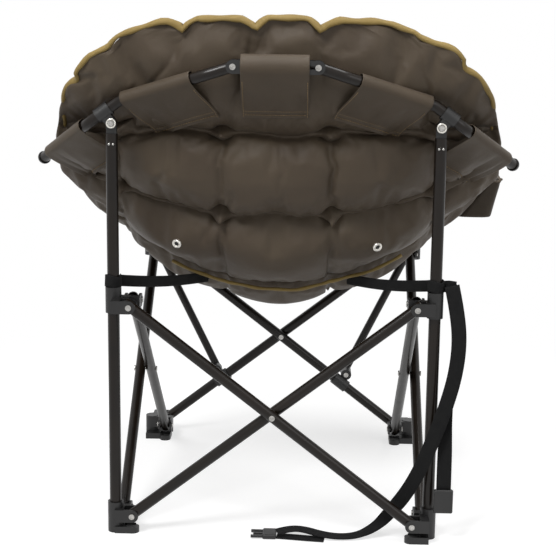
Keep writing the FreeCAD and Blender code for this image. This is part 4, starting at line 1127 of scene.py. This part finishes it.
class CHAIR_OT_bowl(bpy.types.Operator):
    """Quilted back and seat with their bindings and eyelets"""
    bl_idname = "chair.bowl"
    bl_label = "Padded bowl"

    def execute(self, context):
        build_pad("back_padding", TOP, SEAM, BACK_ROWS, "left_post", "back_pad")
        build_pad("seat_padding", SEAM - SEAM_LAP, FRONT, SEAT_ROWS, "seat", "seat_pad")
        radius = measure("binding_radius")
        back_left, back_right = (rim_path(TOP, SEAM, side) for side in (-1.0, 1.0))
        rim = np.concatenate([back_left[::-1][:-2], edge_path(TOP)[2:-2], back_right[2:]])
        build_binding("rim_binding_back", rim, radius, "left_post", 1)
        seat_left, seat_right = (rim_path(SEAM, FRONT, side) for side in (-1.0, 1.0))
        rim = np.concatenate([seat_left[:-2], edge_path(FRONT)[2:-2], seat_right[::-1][2:]])
        build_binding("rim_binding_seat", rim, radius, "seat", 2)
        build_binding("seam_binding", edge_path(SEAM - 2, SEAM_LIFT)[SEAM_RUN], SEAM_TAPE, "left_post", 3)
        for name, (x, z) in EYELETS.items():
            build_eyelet(name, x, z)
        return {"FINISHED"}


class CHAIR_OT_sleeves(bpy.types.Operator):
    """Cloth sleeves over the hoop"""
    bl_idname = "chair.sleeves"
    bl_label = "Hoop sleeves"

    def execute(self, context):
        build_sleeve("centre_sleeve", CENTRE_RUN, KNUCKLE_SLEEVE, drop=0.074, inwards=0, body="centre_bar",
                     seed=11)
        for side, sign in SIDES:
            for kind, run, shares, drop, inwards, seed in (
                    ("inner", INNER_RUN, INNER_SHARE, 0.057, 0.4, 12),
                    ("outer", OUTER_RUN, OUTER_SHARE, 0.055, 0.42, 15)):
                start, end = np.array(run) * (sign, 1, 1)
                covered = [start + (end - start) * share for share in shares]
                build_sleeve(f"{kind}_sleeve_{side}", covered, TUBE_SLEEVE, drop, inwards, f"{side}_back_bar",
                             seed + sign)
        return {"FINISHED"}


class CHAIR_OT_ties(bpy.types.Operator):
    """Webbing ties from the collars to the bowl"""
    bl_idname = "chair.ties"
    bl_label = "Seat ties"

    def execute(self, context):
        for side, sign in SIDES:
            build_tie(side, sign)
        return {"FINISHED"}


class CHAIR_OT_pouch(bpy.types.Operator):
    """Cup pouch on the right arm"""
    bl_idname = "chair.pouch"
    bl_label = "Cup pouch"

    def execute(self, context):
        build_pouch()
        return {"FINISHED"}


class CHAIR_PT_panel(bpy.types.Panel):
    """Settings, and a button for each group of pieces"""
    bl_idname = "CHAIR_PT_panel"
    bl_label = "Camping chair"
    bl_space_type = "VIEW_3D"
    bl_region_type = "UI"
    bl_category = "Chair"

    def draw(self, context):
        for name in ChairSettings.__annotations__:
            self.layout.prop(context.scene.chair, name)
        for operator in OPERATORS:
            self.layout.operator(operator.bl_idname)


OPERATORS = (CHAIR_OT_stage, CHAIR_OT_frame, CHAIR_OT_straps, CHAIR_OT_bowl, CHAIR_OT_sleeves, CHAIR_OT_ties,
             CHAIR_OT_pouch)
CLASSES = (ChairSettings,) + OPERATORS + (CHAIR_PT_panel,)


def register():
    for cls in CLASSES:
        bpy.utils.register_class(cls)
    bpy.types.Scene.chair = bpy.props.PointerProperty(type=ChairSettings)


def unregister():
    del bpy.types.Scene.chair
    for cls in reversed(CLASSES):
        bpy.utils.unregister_class(cls)


def main():
    register()
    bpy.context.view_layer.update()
    MATERIALS.update(make_materials())
    bpy.ops.chair.stage()
    bpy.ops.chair.frame()
    bpy.ops.chair.straps()
    bpy.ops.chair.bowl()
    bpy.ops.chair.sleeves()
    bpy.ops.chair.ties()
    bpy.ops.chair.pouch()


if __name__ == "__main__":
    main()
